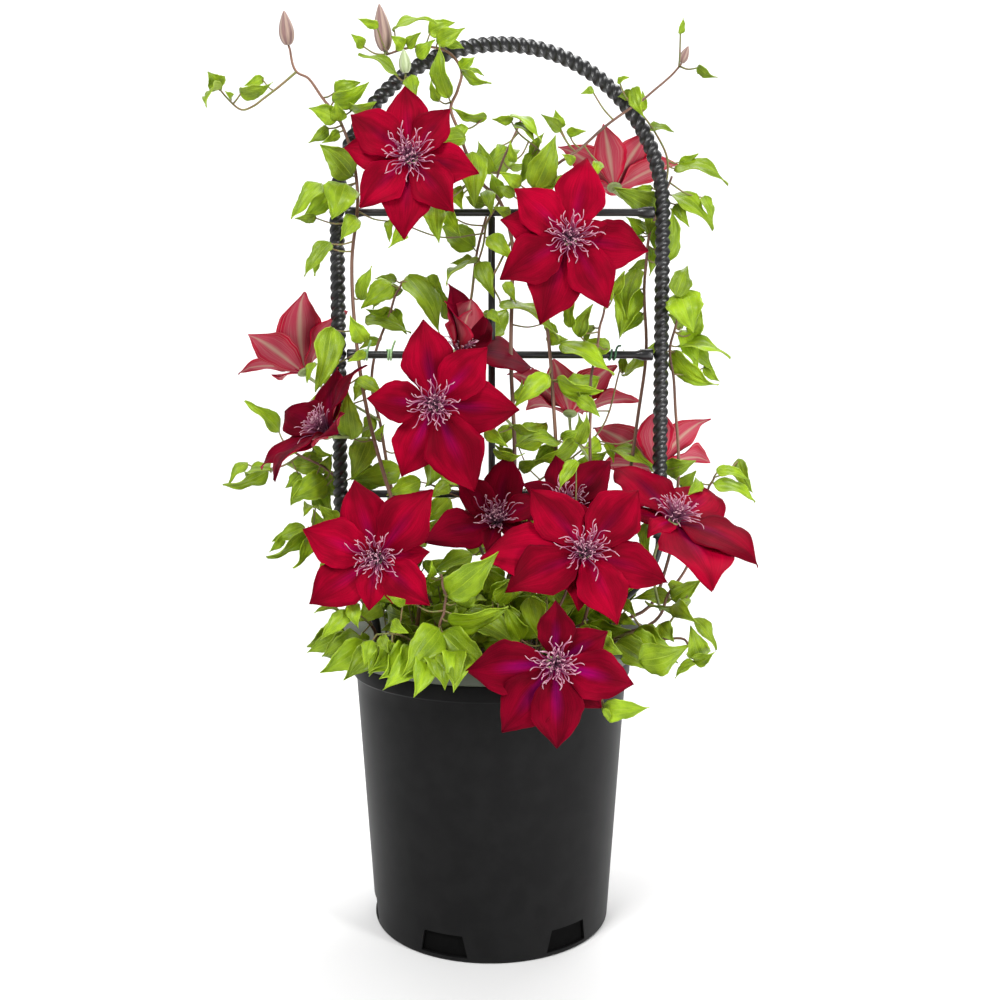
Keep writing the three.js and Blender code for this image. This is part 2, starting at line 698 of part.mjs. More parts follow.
function sepalBlade(bloom, frame, order, extra = 0) {
  const [angle, length, breadth = 1, rise = 0] = bloom.sepals[order];
  const half = 0.31 * length * breadth + extra;
  const rows = [[-2.2, 2.2].map((across) => sepalPoint(bloom, frame, order, 0, across))];
  for (const [t, w] of sepalStations) {
    rows.push([-w * half, 0, w * half].map((across) => sepalPoint(bloom, frame, order, t, across)));
  }
  const tip = sepalPoint(bloom, frame, order, 1 + extra / length, 0);
  const normal = sepalNormal(frame, sepalFrame(frame, angle).outward, radians(bloom.cup + rise));
  const lift = extra + sepalThickness / 2;
  const lifted = (p) => p.addScaledVector(normal, lift);
  rows.forEach((row) => row.forEach(lifted));
  lifted(tip);
  return bladeSolid(rows, tip, normal, sepalThickness + 2 * extra);
}

function turned(profile, segments) {
  return new THREE.LatheGeometry(profile.map(([r, z]) => new THREE.Vector2(r, z)), segments);
}

// Lathe solids are made about Y, then stood on the wanted axis
function stood(geometry, origin, axis) {
  const turn = new THREE.Quaternion().setFromUnitVectors(new THREE.Vector3(0, 1, 0), axis);
  geometry.applyMatrix4(new THREE.Matrix4().compose(origin, turn, new THREE.Vector3(1, 1, 1)));
  return geometry;
}

function bloomHub(frame) {
  const profile = [[0, -3], [3, -3], [hubRadius, 0], [hubRadius - 2, 1.6], [0, 1.6]];
  return solidOf(stood(turned(profile, 6), frame.centre, frame.facing));
}

function bloomSolid(bloom, extra = 0) {
  const frame = bloomFrame(bloom);
  const parts = [bloomHub(frame)];
  bloom.sepals.forEach((sepal, order) => parts.push(sepalBlade(bloom, frame, order, extra)));
  return join(parts);
}

// Boss of stamens: a six-sided core with a spike drawn out of each of its facets
function bossSolid(bloom) {
  const frame = bloomFrame(bloom);
  const seat = frame.centre.clone().addScaledVector(frame.facing, 1.6 + seatGap);
  const cupped = Math.cos(radians(bloom.cup));
  const away = (angle, reach, rise) => seat.clone()
    .addScaledVector(sepalFrame(frame, angle).outward, reach)
    .addScaledVector(frame.facing, rise);
  const turns = [0, 60, 120, 180, 240, 300];
  const points = [
    ...turns.map((angle) => away(angle, 3.6 * cupped, 0)),
    ...turns.map((angle) => away(angle, 3 * cupped, 2.6)),
    away(0, 0, 4.6),
  ];
  const faces = [[2, 1, 0], [3, 2, 0], [4, 3, 0], [5, 4, 0]];
  const drawOut = (ring, angle, reach, slope) => {
    const rise = radians(slope);
    const tip = points.push(away(angle, reach * Math.cos(rise), 2 + reach * Math.sin(rise))) - 1;
    ring.forEach((corner, k) => faces.push([corner, ring[(k + 1) % ring.length], tip]));
  };
  turns.forEach((angle, k) => {
    const next = (k + 1) % 6;
    const shift = 16 * draw(bloom.seed + k) - 8;
    const lowReach = 21 + 4 * draw(k + bloom.seed + 9);
    const highReach = 17 + 3 * draw(k + bloom.seed + 5);
    drawOut([k, next, next + 6, k + 6], angle + 30 + shift, lowReach, bloom.cup + 26);
    drawOut([k + 6, next + 6, 12], angle + 30 - shift, highReach, 62 + bloom.cup / 4);
  });
  return solidFromLists(points, faces);
}

// Bud: a pointed spindle with shallow ribs, its foot just clear of the stalk's end
function budSolid(bud) {
  const foot = v3(bud.foot);
  const axis = v3(bud.tip).sub(foot);
  const length = axis.length();
  axis.normalize();
  const profile = [[0, 0], [0.5, 0], [0.85, 0.14], [1, 0.34], [0.8, 0.62], [0.4, 0.86], [0, 1]]
    .map(([r, t]) => [r * bud.width / 2, t * length]);
  return solidOf(stood(turned(profile, 8), foot, axis));
}

// Leafy stem: main shoot, side shoots, flower stalks, leaf stalks and leaves in one body
function nearestOn(lines, point) {
  let best = null;
  for (const line of lines) {
    for (let i = 0; i + 1 < line.length; i += 1) {
      const span = line[i + 1].clone().sub(line[i]);
      const t = Math.min(1, Math.max(0, point.clone().sub(line[i]).dot(span) / span.lengthSq()));
      const spot = line[i].clone().addScaledVector(span, t);
      const distance = spot.distanceTo(point);
      if (!best || distance < best.distance) {
        best = { spot, distance };
      }
    }
  }
  return best.spot;
}

function stemLines(stem) {
  return [stem.path, ...stem.side].map((line) => line.map(v3));
}

function stemSolids(stem, extra = 0) {
  const [main, ...sides] = stemLines(stem);
  const [thick, thin] = stem.radii;
  main[0].z -= extra;
  const parts = [tube(main, thick + extra, thin + extra, 4, main.length - 1)];
  for (const side of sides) {
    parts.push(tube(side, thin + 0.1 + extra, thin - 0.1 + extra, 3, side.length - 1));
  }
  for (const stalk of stem.stalks) {
    parts.push(tube(stalk.map(v3), 1.2 + extra, 1.1 + extra, 3, stalk.length - 1));
  }
  return parts;
}

function leafSolid(stem, leaf, extra = 0) {
  const base = v3(leaf.slice(0, 3));
  const tip = v3(leaf.slice(3, 6));
  return leafBlade(nearestOn(stemLines(stem), base), base, tip, leaf[6], leaf[0] + 2 * leaf[2], extra);
}

// Pots, soil and trellis
const potTaper = (potBodyRadius - potFootRadius) / (potHeight - collarHeight);
const bodyRadiusAt = (z) => potFootRadius + potTaper * z;
const facetSag = 0.5;
const linerRadiusAt = (z) => bodyRadiusAt(z) - potWall - linerClearance;
const soilRadiusAt = (z) => linerRadiusAt(z) - linerWall - seatGap - facetSag;
const lidZ = potHeight + seatGap;

function boxSolid(width, depth, height, centre, turn) {
  const box = new THREE.BoxGeometry(width, depth, height);
  box.rotateZ(turn);
  box.translate(centre.x, centre.y, centre.z);
  return solidOf(box);
}

function outerPot() {
  const stepZ = potHeight - collarHeight;
  const profile = [[0, 0], [potFootRadius, 0], [bodyRadiusAt(stepZ), stepZ],
    [collarRadius - 0.6, stepZ + 0.8],
    [collarRadius, stepZ + 2], [collarRadius, potHeight - 1.5], [collarRadius - 1.2, potHeight],
    [bodyRadiusAt(potHeight) - potWall, potHeight], [bodyRadiusAt(potFloor) - potWall, potFloor],
    [0, potFloor]];
  let pot = solidOf(stood(turned(profile, 36), new THREE.Vector3(), up));
  for (let i = 0; i < notchCount; i += 1) {
    const angle = radians(notchFirstAngle + (360 / notchCount) * i - 90);
    const centre = new THREE.Vector3(Math.cos(angle), Math.sin(angle), 0).multiplyScalar(potFootRadius);
    centre.z = potFloor + 0.8 + (notchHeight - potFloor - 0.8) / 2;
    pot = pot.subtract(boxSolid(notchWidth, 12, notchHeight - potFloor - 0.8, centre, angle + Math.PI / 2));
  }
  return pot;
}

function innerPot() {
  const low = potFloor + linerFloorLift;
  const outer = [[0, low], [linerRadiusAt(low), low], [linerRadiusAt(potHeight), lidZ],
    [112.6, lidZ + 0.2], [114, potHeight + 4], [rimRadius - 3, rimHeight - 4.4],
    [rimRadius, rimHeight - 2], [rimRadius - 1, rimHeight]];
  const inner = [[rimRadius - 5, rimHeight - 1], [111, potHeight + 4.5],
    [linerRadiusAt(potHeight) - linerWall, potHeight + 1],
    [linerRadiusAt(low) - linerWall, low + linerWall],
    [0, low + linerWall]];
  return solidOf(stood(turned([...outer, ...inner], 28), new THREE.Vector3(), up));
}

function soilMound() {
  const low = potFloor + linerFloorLift + linerWall + seatGap;
  const edge = soilHeight - 4;
  const profile = [[0, low], [soilRadiusAt(low), low], [soilRadiusAt(edge), edge]];
  const rings = [0.8, 0.45];
  for (const share of rings) {
    profile.push([soilRadiusAt(edge) * share, soilHeight - 2 * share]);
  }
  profile.push([0, soilHeight]);
  const geometry = turned(profile, 20);
  const position = geometry.attributes.position;
  const columns = profile.length;
  const around = 20;
  for (let i = 0; i < position.count; i += 1) {
    const row = i % columns;
    const column = Math.floor(i / columns) % around;
    if (row >= 3 && row < columns - 1) {
      position.setY(i, position.getY(i) + 3.2 * (draw(row * 31 + column) - 0.5));
    }
  }
  return solidOf(stood(geometry, new THREE.Vector3(), up));
}

// Twisted square rod over the arch, then the plain lower legs that bend in to the pot
function twistedRod(extra = 0) {
  const legQuarter = rungSpacing / quarterTurnsPerRung;
  const legQuarters = (archCentreZ - twistBottomZ) / legQuarter;
  const total = 2 * legQuarters + quarterTurnsOnArch;
  const rings = Math.round((total * 90) / ringStepDegrees);
  const half = (rodSide / 2 + extra) * Math.SQRT2;
  const points = [];
  for (let i = 0; i <= rings; i += 1) {
    const quarters = -legQuarters + (total * i) / rings;
    const { spot, inward } = rodPlace(quarters, legQuarter);
    for (let k = 0; k < 4; k += 1) {
      const angle = radians(90 * quarters + 90 * k);
      points.push(spot.clone()
        .addScaledVector(inward, half * Math.cos(angle))
        .addScaledVector(new THREE.Vector3(0, 1, 0), half * Math.sin(angle)));
    }
  }
  return solidFromLists(points, ringTriangles(rings + 1, 4));
}

function rodPlace(quarters, legQuarter) {
  if (quarters <= 0) {
    const spot = new THREE.Vector3(trellisX - archRadius, 0, archCentreZ + quarters * legQuarter);
    return { spot, inward: new THREE.Vector3(1, 0, 0) };
  }
  if (quarters >= quarterTurnsOnArch) {
    const beyond = quarters - quarterTurnsOnArch;
    const spot = new THREE.Vector3(trellisX + archRadius, 0, archCentreZ - beyond * legQuarter);
    return { spot, inward: new THREE.Vector3(-1, 0, 0) };
  }
  const angle = Math.PI * (1 - quarters / quarterTurnsOnArch);
  const outward = new THREE.Vector3(Math.cos(angle), 0, Math.sin(angle));
  const spot = new THREE.Vector3(trellisX, 0, archCentreZ).addScaledVector(outward, archRadius);
  return { spot, inward: outward.negate() };
}

function lowerLeg(side, extra = 0) {
  const points = [[archRadius, twistBottomZ + 8], [archRadius, 298], [archRadius - 8, 276],
    [legSoilHalfSpan + 5, 246], [legSoilHalfSpan, 222], [legSoilHalfSpan, 190],
    [legSoilHalfSpan, legBottomZ - extra]];
  const centre = (r) => trellisX * (r - legSoilHalfSpan) / (archRadius - legSoilHalfSpan);
  const line = points.map(([r, z]) => new THREE.Vector3(centre(r) + side * r, 0, z));
  return tube(line, 3.2 + extra, 3.2 + extra, 6, 6);
}

function trellisArch(extra = 0) {
  return join([twistedRod(extra), lowerLeg(-1, extra), lowerLeg(1, extra)]);
}

function rung(index, extra = 0) {
  const z = archCentreZ - rungSpacing * index;
  const reach = archRadius - (rodSide / 2) * Math.SQRT2 - seatGap;
  const wide = rodRungRadius + 1.6;
  const profile = [[0, -reach - extra], [wide + extra, -reach - extra], [wide - 0.4 + extra, -reach + 9],
    [rodRungRadius + extra, -reach + 13], [rodRungRadius + extra, reach - 13],
    [wide - 0.4 + extra, reach - 9], [wide + extra, reach + extra], [0, reach + extra]];
  const along = new THREE.Vector3(1, 0, 0);
  return solidOf(stood(turned(profile, 8), new THREE.Vector3(trellisX, 0, z), along));
}

function uprightBar(index, extra = 0) {
  const top = archCentreZ - rungSpacing * index - rodRungRadius - seatGap;
  const bottom = archCentreZ - rungSpacing * (index + 1) + rodRungRadius + seatGap;
  const wide = rodRungRadius - 0.2 + extra;
  const profile = [[0, bottom - extra], [wide, bottom - extra], [wide, top + extra], [0, top + extra]];
  return solidOf(stood(turned(profile, 8), new THREE.Vector3(trellisX - 6.5, 0, 0), up));
}

function tieBand(tie) {
  const inner = rodRungRadius + seatGap;
  const outer = inner + tie.thickness;
  const half = tie.width / 2;
  const profile = [[inner, -half], [outer, -half], [outer, half], [inner, half], [inner, -half]];
  const z = archCentreZ - rungSpacing * tie.rung;
  return solidOf(stood(turned(profile, 8), new THREE.Vector3(tie.x, 0, z), new THREE.Vector3(1, 0, 0)));
}

// Whole leafy stem in one body, and the soil with a plain hole for each foot
function leafyStem(stem) {
  const parts = [...stemSolids(stem), ...stem.leaves.map((leaf) => leafSolid(stem, leaf))];
  return largestPiece(join(parts));
}

function clearOf(solid, neighbours) {
  let left = solid;
  for (const neighbour of neighbours) {
    if (left.intersect(neighbour).volume() > 0) {
      left = left.subtract(neighbour);
    }
  }
  return largestPiece(left);
}

function boredSoil() {
  const feet = Object.values(stems).map((stem) => stemSolids(stem, seatGap)[0]);
  return clearOf(soilMound(), [...feet, lowerLeg(-1, seatGap), lowerLeg(1, seatGap)]);
}

// Joining leaves needless corners: one goes to its neighbour where the surface stays within the tolerance
function canMerge(from, to, points, faces, around) {
  const nextTo = (corner) => new Set([...around[corner]].flatMap((k) => faces[k]));
  const besideTo = nextTo(to);
  const shared = [...nextTo(from)].filter((corner) => besideTo.has(corner));
  if (shared.length !== 4) {
    return false;
  }
  const spot = new THREE.Vector3();
  let nearest = Infinity;
  for (const k of around[from]) {
    if (!faces[k].includes(to)) {
      const before = new THREE.Triangle(...faces[k].map((corner) => points[corner]));
      const after = new THREE.Triangle(...faces[k].map((corner) => points[corner === from ? to : corner]));
      const way = after.getNormal(new THREE.Vector3());
      const agrees = way.dot(before.getNormal(new THREE.Vector3()));
      if (after.getArea() < 0.002 || agrees < (before.getArea() < 0.05 ? 0.5 : 0.94)) {
        return false;
      }
      nearest = Math.min(nearest, after.closestPointToPoint(points[from], spot).distanceTo(points[from]));
    }
  }
  return nearest < mergeTolerance;
}

function mergeCorner(from, to, faces, around) {
  for (const k of around[from]) {
    if (faces[k].includes(to)) {
      faces[k].filter((corner) => corner !== from).forEach((corner) => around[corner].delete(k));
      faces[k] = [];
    } else {
      faces[k] = faces[k].map((corner) => (corner === from ? to : corner));
      around[to].add(k);
    }
  }
  around[from] = new Set();
}

function tidied(points, faces) {
  const around = points.map(() => new Set());
  faces.forEach((face, k) => face.forEach((corner) => around[corner].add(k)));
  for (let pass = 0; pass < 3; pass += 1) {
    for (let from = 0; from < points.length; from += 1) {
      const choices = [...new Set([...around[from]].flatMap((k) => faces[k]))]
        .filter((corner) => corner !== from && points[corner].distanceTo(points[from]) < mergeReach)
        .sort((a, b) => points[a].distanceTo(points[from]) - points[b].distanceTo(points[from]));
      const to = choices.find((corner) => canMerge(from, corner, points, faces, around));
      if (to !== undefined) {
        mergeCorner(from, to, faces, around);
      }
    }
  }
  return faces.filter((face) => face.length === 3);
}

function geometryOf(solid, grown) {
  const mesh = solid.getMesh();
  const points = [];
  for (let i = 0; i < mesh.vertProperties.length; i += mesh.numProp) {
    points.push(new THREE.Vector3(...mesh.vertProperties.slice(i, i + 3)));
  }
  const corners = [...mesh.triVerts];
  const faces = [];
  for (let i = 0; i < corners.length; i += 3) {
    faces.push(corners.slice(i, i + 3));
  }
  const geometry = new THREE.BufferGeometry().setFromPoints(points);
  geometry.setIndex((grown ? tidied(points, faces) : faces).flat());
  geometry.computeVertexNormals();
  return geometry;
}

const group = new THREE.Group();

function place(name, solid, colour, grown = false) {
  const [tint, roughness] = colours[colour];
  const material = new THREE.MeshStandardMaterial({ color: tint, roughness, metalness: 0 });
  const mesh = new THREE.Mesh(geometryOf(solid, grown), material);
  mesh.name = name;
  group.add(mesh);
}

place('outer_pot', outerPot(), 'potBlack');
place('inner_pot', innerPot(), 'linerGreen');
place('soil', boredSoil(), 'soil');
place('trellis_arch', trellisArch(), 'rodBlack');
for (let i = 0; i < rungCount; i += 1) {
  place(`rung_${i + 1}`, rung(i), 'rodBlack');
}
for (let i = 0; i + 1 < rungCount; i += 1) {
  place(`upright_${i + 1}`, uprightBar(i), 'rodBlack');
}
for (const [name, tie] of Object.entries(ties)) {
  place(name, tieBand(tie), tie.colour);
}
for (const [name, stem] of Object.entries(stems)) {
  place(`stem_${name}`, leafyStem(stem), 'foliage', true);
}
for (const [name, bloom] of Object.entries(blooms)) {
  place(name, bloomSolid(bloom), bloom.colour, true);
  const boss = clearOf(bossSolid(bloom), [bloomSolid(bloom, seatGap)]);
  place(name.replace('bloom', 'boss'), boss, 'stamens');
}
for (const [name, bud] of Object.entries(buds)) {
  place(name, budSolid(bud), bud.colour);
}

export default group;
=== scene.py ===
# %% [markdown]
# # A flowering climber on its trellis
# The real object is a large-flowered climber in a round nursery pot. Its stems twine up an arched trellis
# made of twisted rod. The CAD model already fixes where each stem, leaf, bloom, rod and pot stands. This
# lesson keeps every one of those places and grows a finer piece over each: waved leaves with veins,
# velvety sepals, curled stamens, twisted rod and rough soil. The CAD model is read in first.

import math

import bpy
import numpy as np
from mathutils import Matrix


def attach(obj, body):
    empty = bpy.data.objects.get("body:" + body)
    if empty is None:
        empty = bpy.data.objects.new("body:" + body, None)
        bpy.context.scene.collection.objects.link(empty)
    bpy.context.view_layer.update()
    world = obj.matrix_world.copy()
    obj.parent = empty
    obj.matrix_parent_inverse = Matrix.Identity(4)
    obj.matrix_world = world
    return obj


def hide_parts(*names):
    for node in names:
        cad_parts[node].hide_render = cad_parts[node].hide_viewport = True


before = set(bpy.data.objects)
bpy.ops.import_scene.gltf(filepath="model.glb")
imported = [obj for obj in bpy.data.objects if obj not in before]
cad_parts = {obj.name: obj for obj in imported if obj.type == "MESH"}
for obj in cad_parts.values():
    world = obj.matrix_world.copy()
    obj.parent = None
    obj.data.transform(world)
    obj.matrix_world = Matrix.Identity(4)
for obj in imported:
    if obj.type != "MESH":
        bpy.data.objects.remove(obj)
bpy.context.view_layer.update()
print("CAD nodes to dress:", len(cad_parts))

# %% [markdown]
# ## Sizes
# The pots and the trellis are measured in millimetres, because nursery goods are. These are the same
# sizes as in the CAD model, so that each fine piece lies on its plain one. Blender works in metres, so
# the last helper that makes a mesh scales everything once.

# %% Sizes in millimetres
METRES = 0.001
POT_HEIGHT = 214
POT_FOOT_RADIUS = 94.3
POT_BODY_RADIUS = 108
COLLAR_RADIUS = 111
COLLAR_HEIGHT = 13
POT_WALL = 2.2
POT_FLOOR = 3
RIM_RADIUS = 128.5
RIM_HEIGHT = 231.5
SOIL_HEIGHT = 216
TRELLIS_X = 7
ARCH_RADIUS = 127
ARCH_CENTRE_Z = 562
RUNG_SPACING = 110
ROD_SIDE = 9
RUNG_RADIUS = 3
LEG_HALF_SPAN = 91
print("pot", 2 * COLLAR_RADIUS, "mm across, arch top at", ARCH_CENTRE_Z + ARCH_RADIUS, "mm")

# %% [markdown]
# ## Where everything grows
# A plant is a list of places. Each bloom has a centre, the way it faces, how far its sepals rise like a
# cup, and one entry for each sepal: its angle round the centre and its length, then its breadth and how
# much steeper it rises than the others where these differ. Each stem has the points that it passes, its
# side shoots, its flower stalks and its leaves. A leaf is its foot, its tip and the width that shows from
# the front. Writing the plant down this way keeps the shape apart from the way it is drawn.

# %% Blooms
# Blooms that lie in shade take a darker copy of the crimson velvet, which is painted shade.
blooms = {
    "bloom_1": {
        "centre": [-59, -45, 594], "facing": [-0.05, -0.99, 0.12], "cup": 6,
        "colour": "crimson", "seed": 17,
        "sepals": [[-52, 52], [-12, 51], [50, 46], [94, 54], [144, 55], [170, 50], [226, 52], [266, 59]],
    },
    "bloom_2": {
        "centre": [58, -50, 535], "facing": [0.1, -0.99, 0.05], "cup": 6,
        "colour": "crimson", "seed": 34,
        "sepals": [
            [-60, 58], [-8, 60], [20, 32, 0.7], [76, 61], [140, 54], [166, 52], [210, 60], [250, 66],
        ],
    },
    "bloom_3": {
        "centre": [-41, -62, 413], "facing": [0, -1, 0.05], "cup": 5,
        "colour": "crimson", "seed": 51, "bar": 0.8,
        "sepals": [[-66, 70], [-4, 62], [46, 57], [98, 63], [174, 50], [244, 58]],
    },
    "bloom_4": {
        "centre": [-81, -90, 303], "facing": [-0.12, -0.97, 0.19], "cup": 10,
        "colour": "crimson", "seed": 68, "bar": 0.5,
        "sepals": [
            [-40, 52], [8, 38], [52, 64], [108, 59], [160, 58], [216, 59], [264, 38], [118, 20, 0.95, 62],
        ],
    },
    "bloom_5": {
        "centre": [68, -88, 306], "facing": [0.05, -0.86, 0.51], "cup": 8,
        "colour": "crimson", "seed": 85,
        "sepals": [[-72, 59], [-20, 62], [48, 65], [96, 43], [126, 62], [182, 75], [208, 65], [260, 43]],
    },
    "bloom_6": {
        "centre": [44, -142, 239], "facing": [0.05, -0.99, 0.12], "cup": 4,
        "colour": "crimson", "seed": 102, "bar": 1.0, "finish": "deep", "boss": 0.85,
        "sepals": [[-88, 58], [-44, 45], [-16, 56], [30, 42], [88, 42], [184, 60], [232, 59]],
    },
    "bloom_7": {
        "centre": [5, -34, 322], "facing": [-0.1, -0.8, 0.6], "cup": 22,
        "colour": "maroon", "seed": 119,
        "sepals": [
            [22, 44, 0.85], [84, 56, 0.95], [134, 48, 0.9], [206, 60], [262, 34, 0.7], [328, 46, 0.75],
        ],
    },
    "bloom_8": {
        "centre": [-24, -30, 452], "facing": [0.22, -0.45, 0.86], "cup": 14,
        "colour": "maroon", "seed": 136, "boss": 0.6,
        "sepals": [
            [-112, 50, 0.85, 74], [-78, 40, 0.85, 80], [-10, 62, 1.45, -18], [40, 44, 1.2, 20],
            [112, 54, 1.0, 52], [164, 46, 0.9, 60],
        ],
    },
    "bloom_9": {
        "centre": [-152, 28, 439], "facing": [-0.5, 0.35, 0.8], "cup": 35,
        "colour": "rose", "seed": 153,
        "sepals": [
            [-50, 54, 0.85], [10, 60, 0.85], [68, 70, 0.9], [124, 62, 0.85], [180, 58, 0.85],
            [240, 60, 0.85],
        ],
    },
    "bloom_10": {
        "centre": [-122, -40, 391], "facing": [-0.65, -0.4, 0.64], "cup": 24,
        "colour": "maroon", "seed": 170,
        "sepals": [
            [-70, 66, 0.9], [-10, 60, 0.9], [60, 62, 0.9], [118, 62, 0.9], [176, 60, 0.9], [234, 60, 0.9],
        ],
    },
    "bloom_11": {
        "centre": [100, 40, 588], "facing": [0.05, 0.57, 0.82], "cup": 36,
        "colour": "rose", "seed": 187,
        "sepals": [
            [-104, 50, 0.85], [-35, 56, 0.85], [20, 58, 0.85], [78, 52, 0.85], [130, 52, 0.85],
            [184, 60, 0.85],
        ],
    },
    "bloom_12": {
        "centre": [65, 42, 405], "facing": [0.1, 0.5, 0.86], "cup": 33,
        "colour": "rose", "seed": 204,
        "sepals": [
            [-96, 50, 0.85], [-40, 66, 0.9], [20, 62, 0.9], [78, 54, 0.9], [140, 58, 0.9], [206, 66, 0.9],
        ],
    },
    "bloom_13": {
        "centre": [137, 40, 360], "facing": [-0.1, 0.61, 0.79], "cup": 30,
        "colour": "rose", "seed": 221,
        "sepals": [
            [-94, 50, 0.9], [-36, 56, 0.9], [20, 64, 0.9], [80, 58, 0.9], [140, 60, 0.9], [206, 72, 0.9],
        ],
    },
    "bloom_14": {
        "centre": [139, -44, 324], "facing": [0.2, -0.46, 0.87], "cup": 8,
        "colour": "crimson", "seed": 238, "bar": 0.6,
        "sepals": [
            [-150, 40, 0.8], [-98, 84, 1.1], [-58, 72, 1.1], [30, 66, 1.1], [108, 72, 1.15], [160, 40, 0.9],
        ],
    },
    "bloom_15": {
        "centre": [58, -45, 334], "facing": [0, -0.8, 0.6], "cup": 15,
        "colour": "maroon", "seed": 255,
        "sepals": [
            [-100, 24, 0.7], [-12, 46, 0.85], [48, 52, 0.95], [100, 46, 0.9], [152, 40, 0.8],
            [200, 32, 0.8],
        ],
    },
}
print("blooms:", len(blooms), "sepals:", sum(len(bloom["sepals"]) for bloom in blooms.values()))

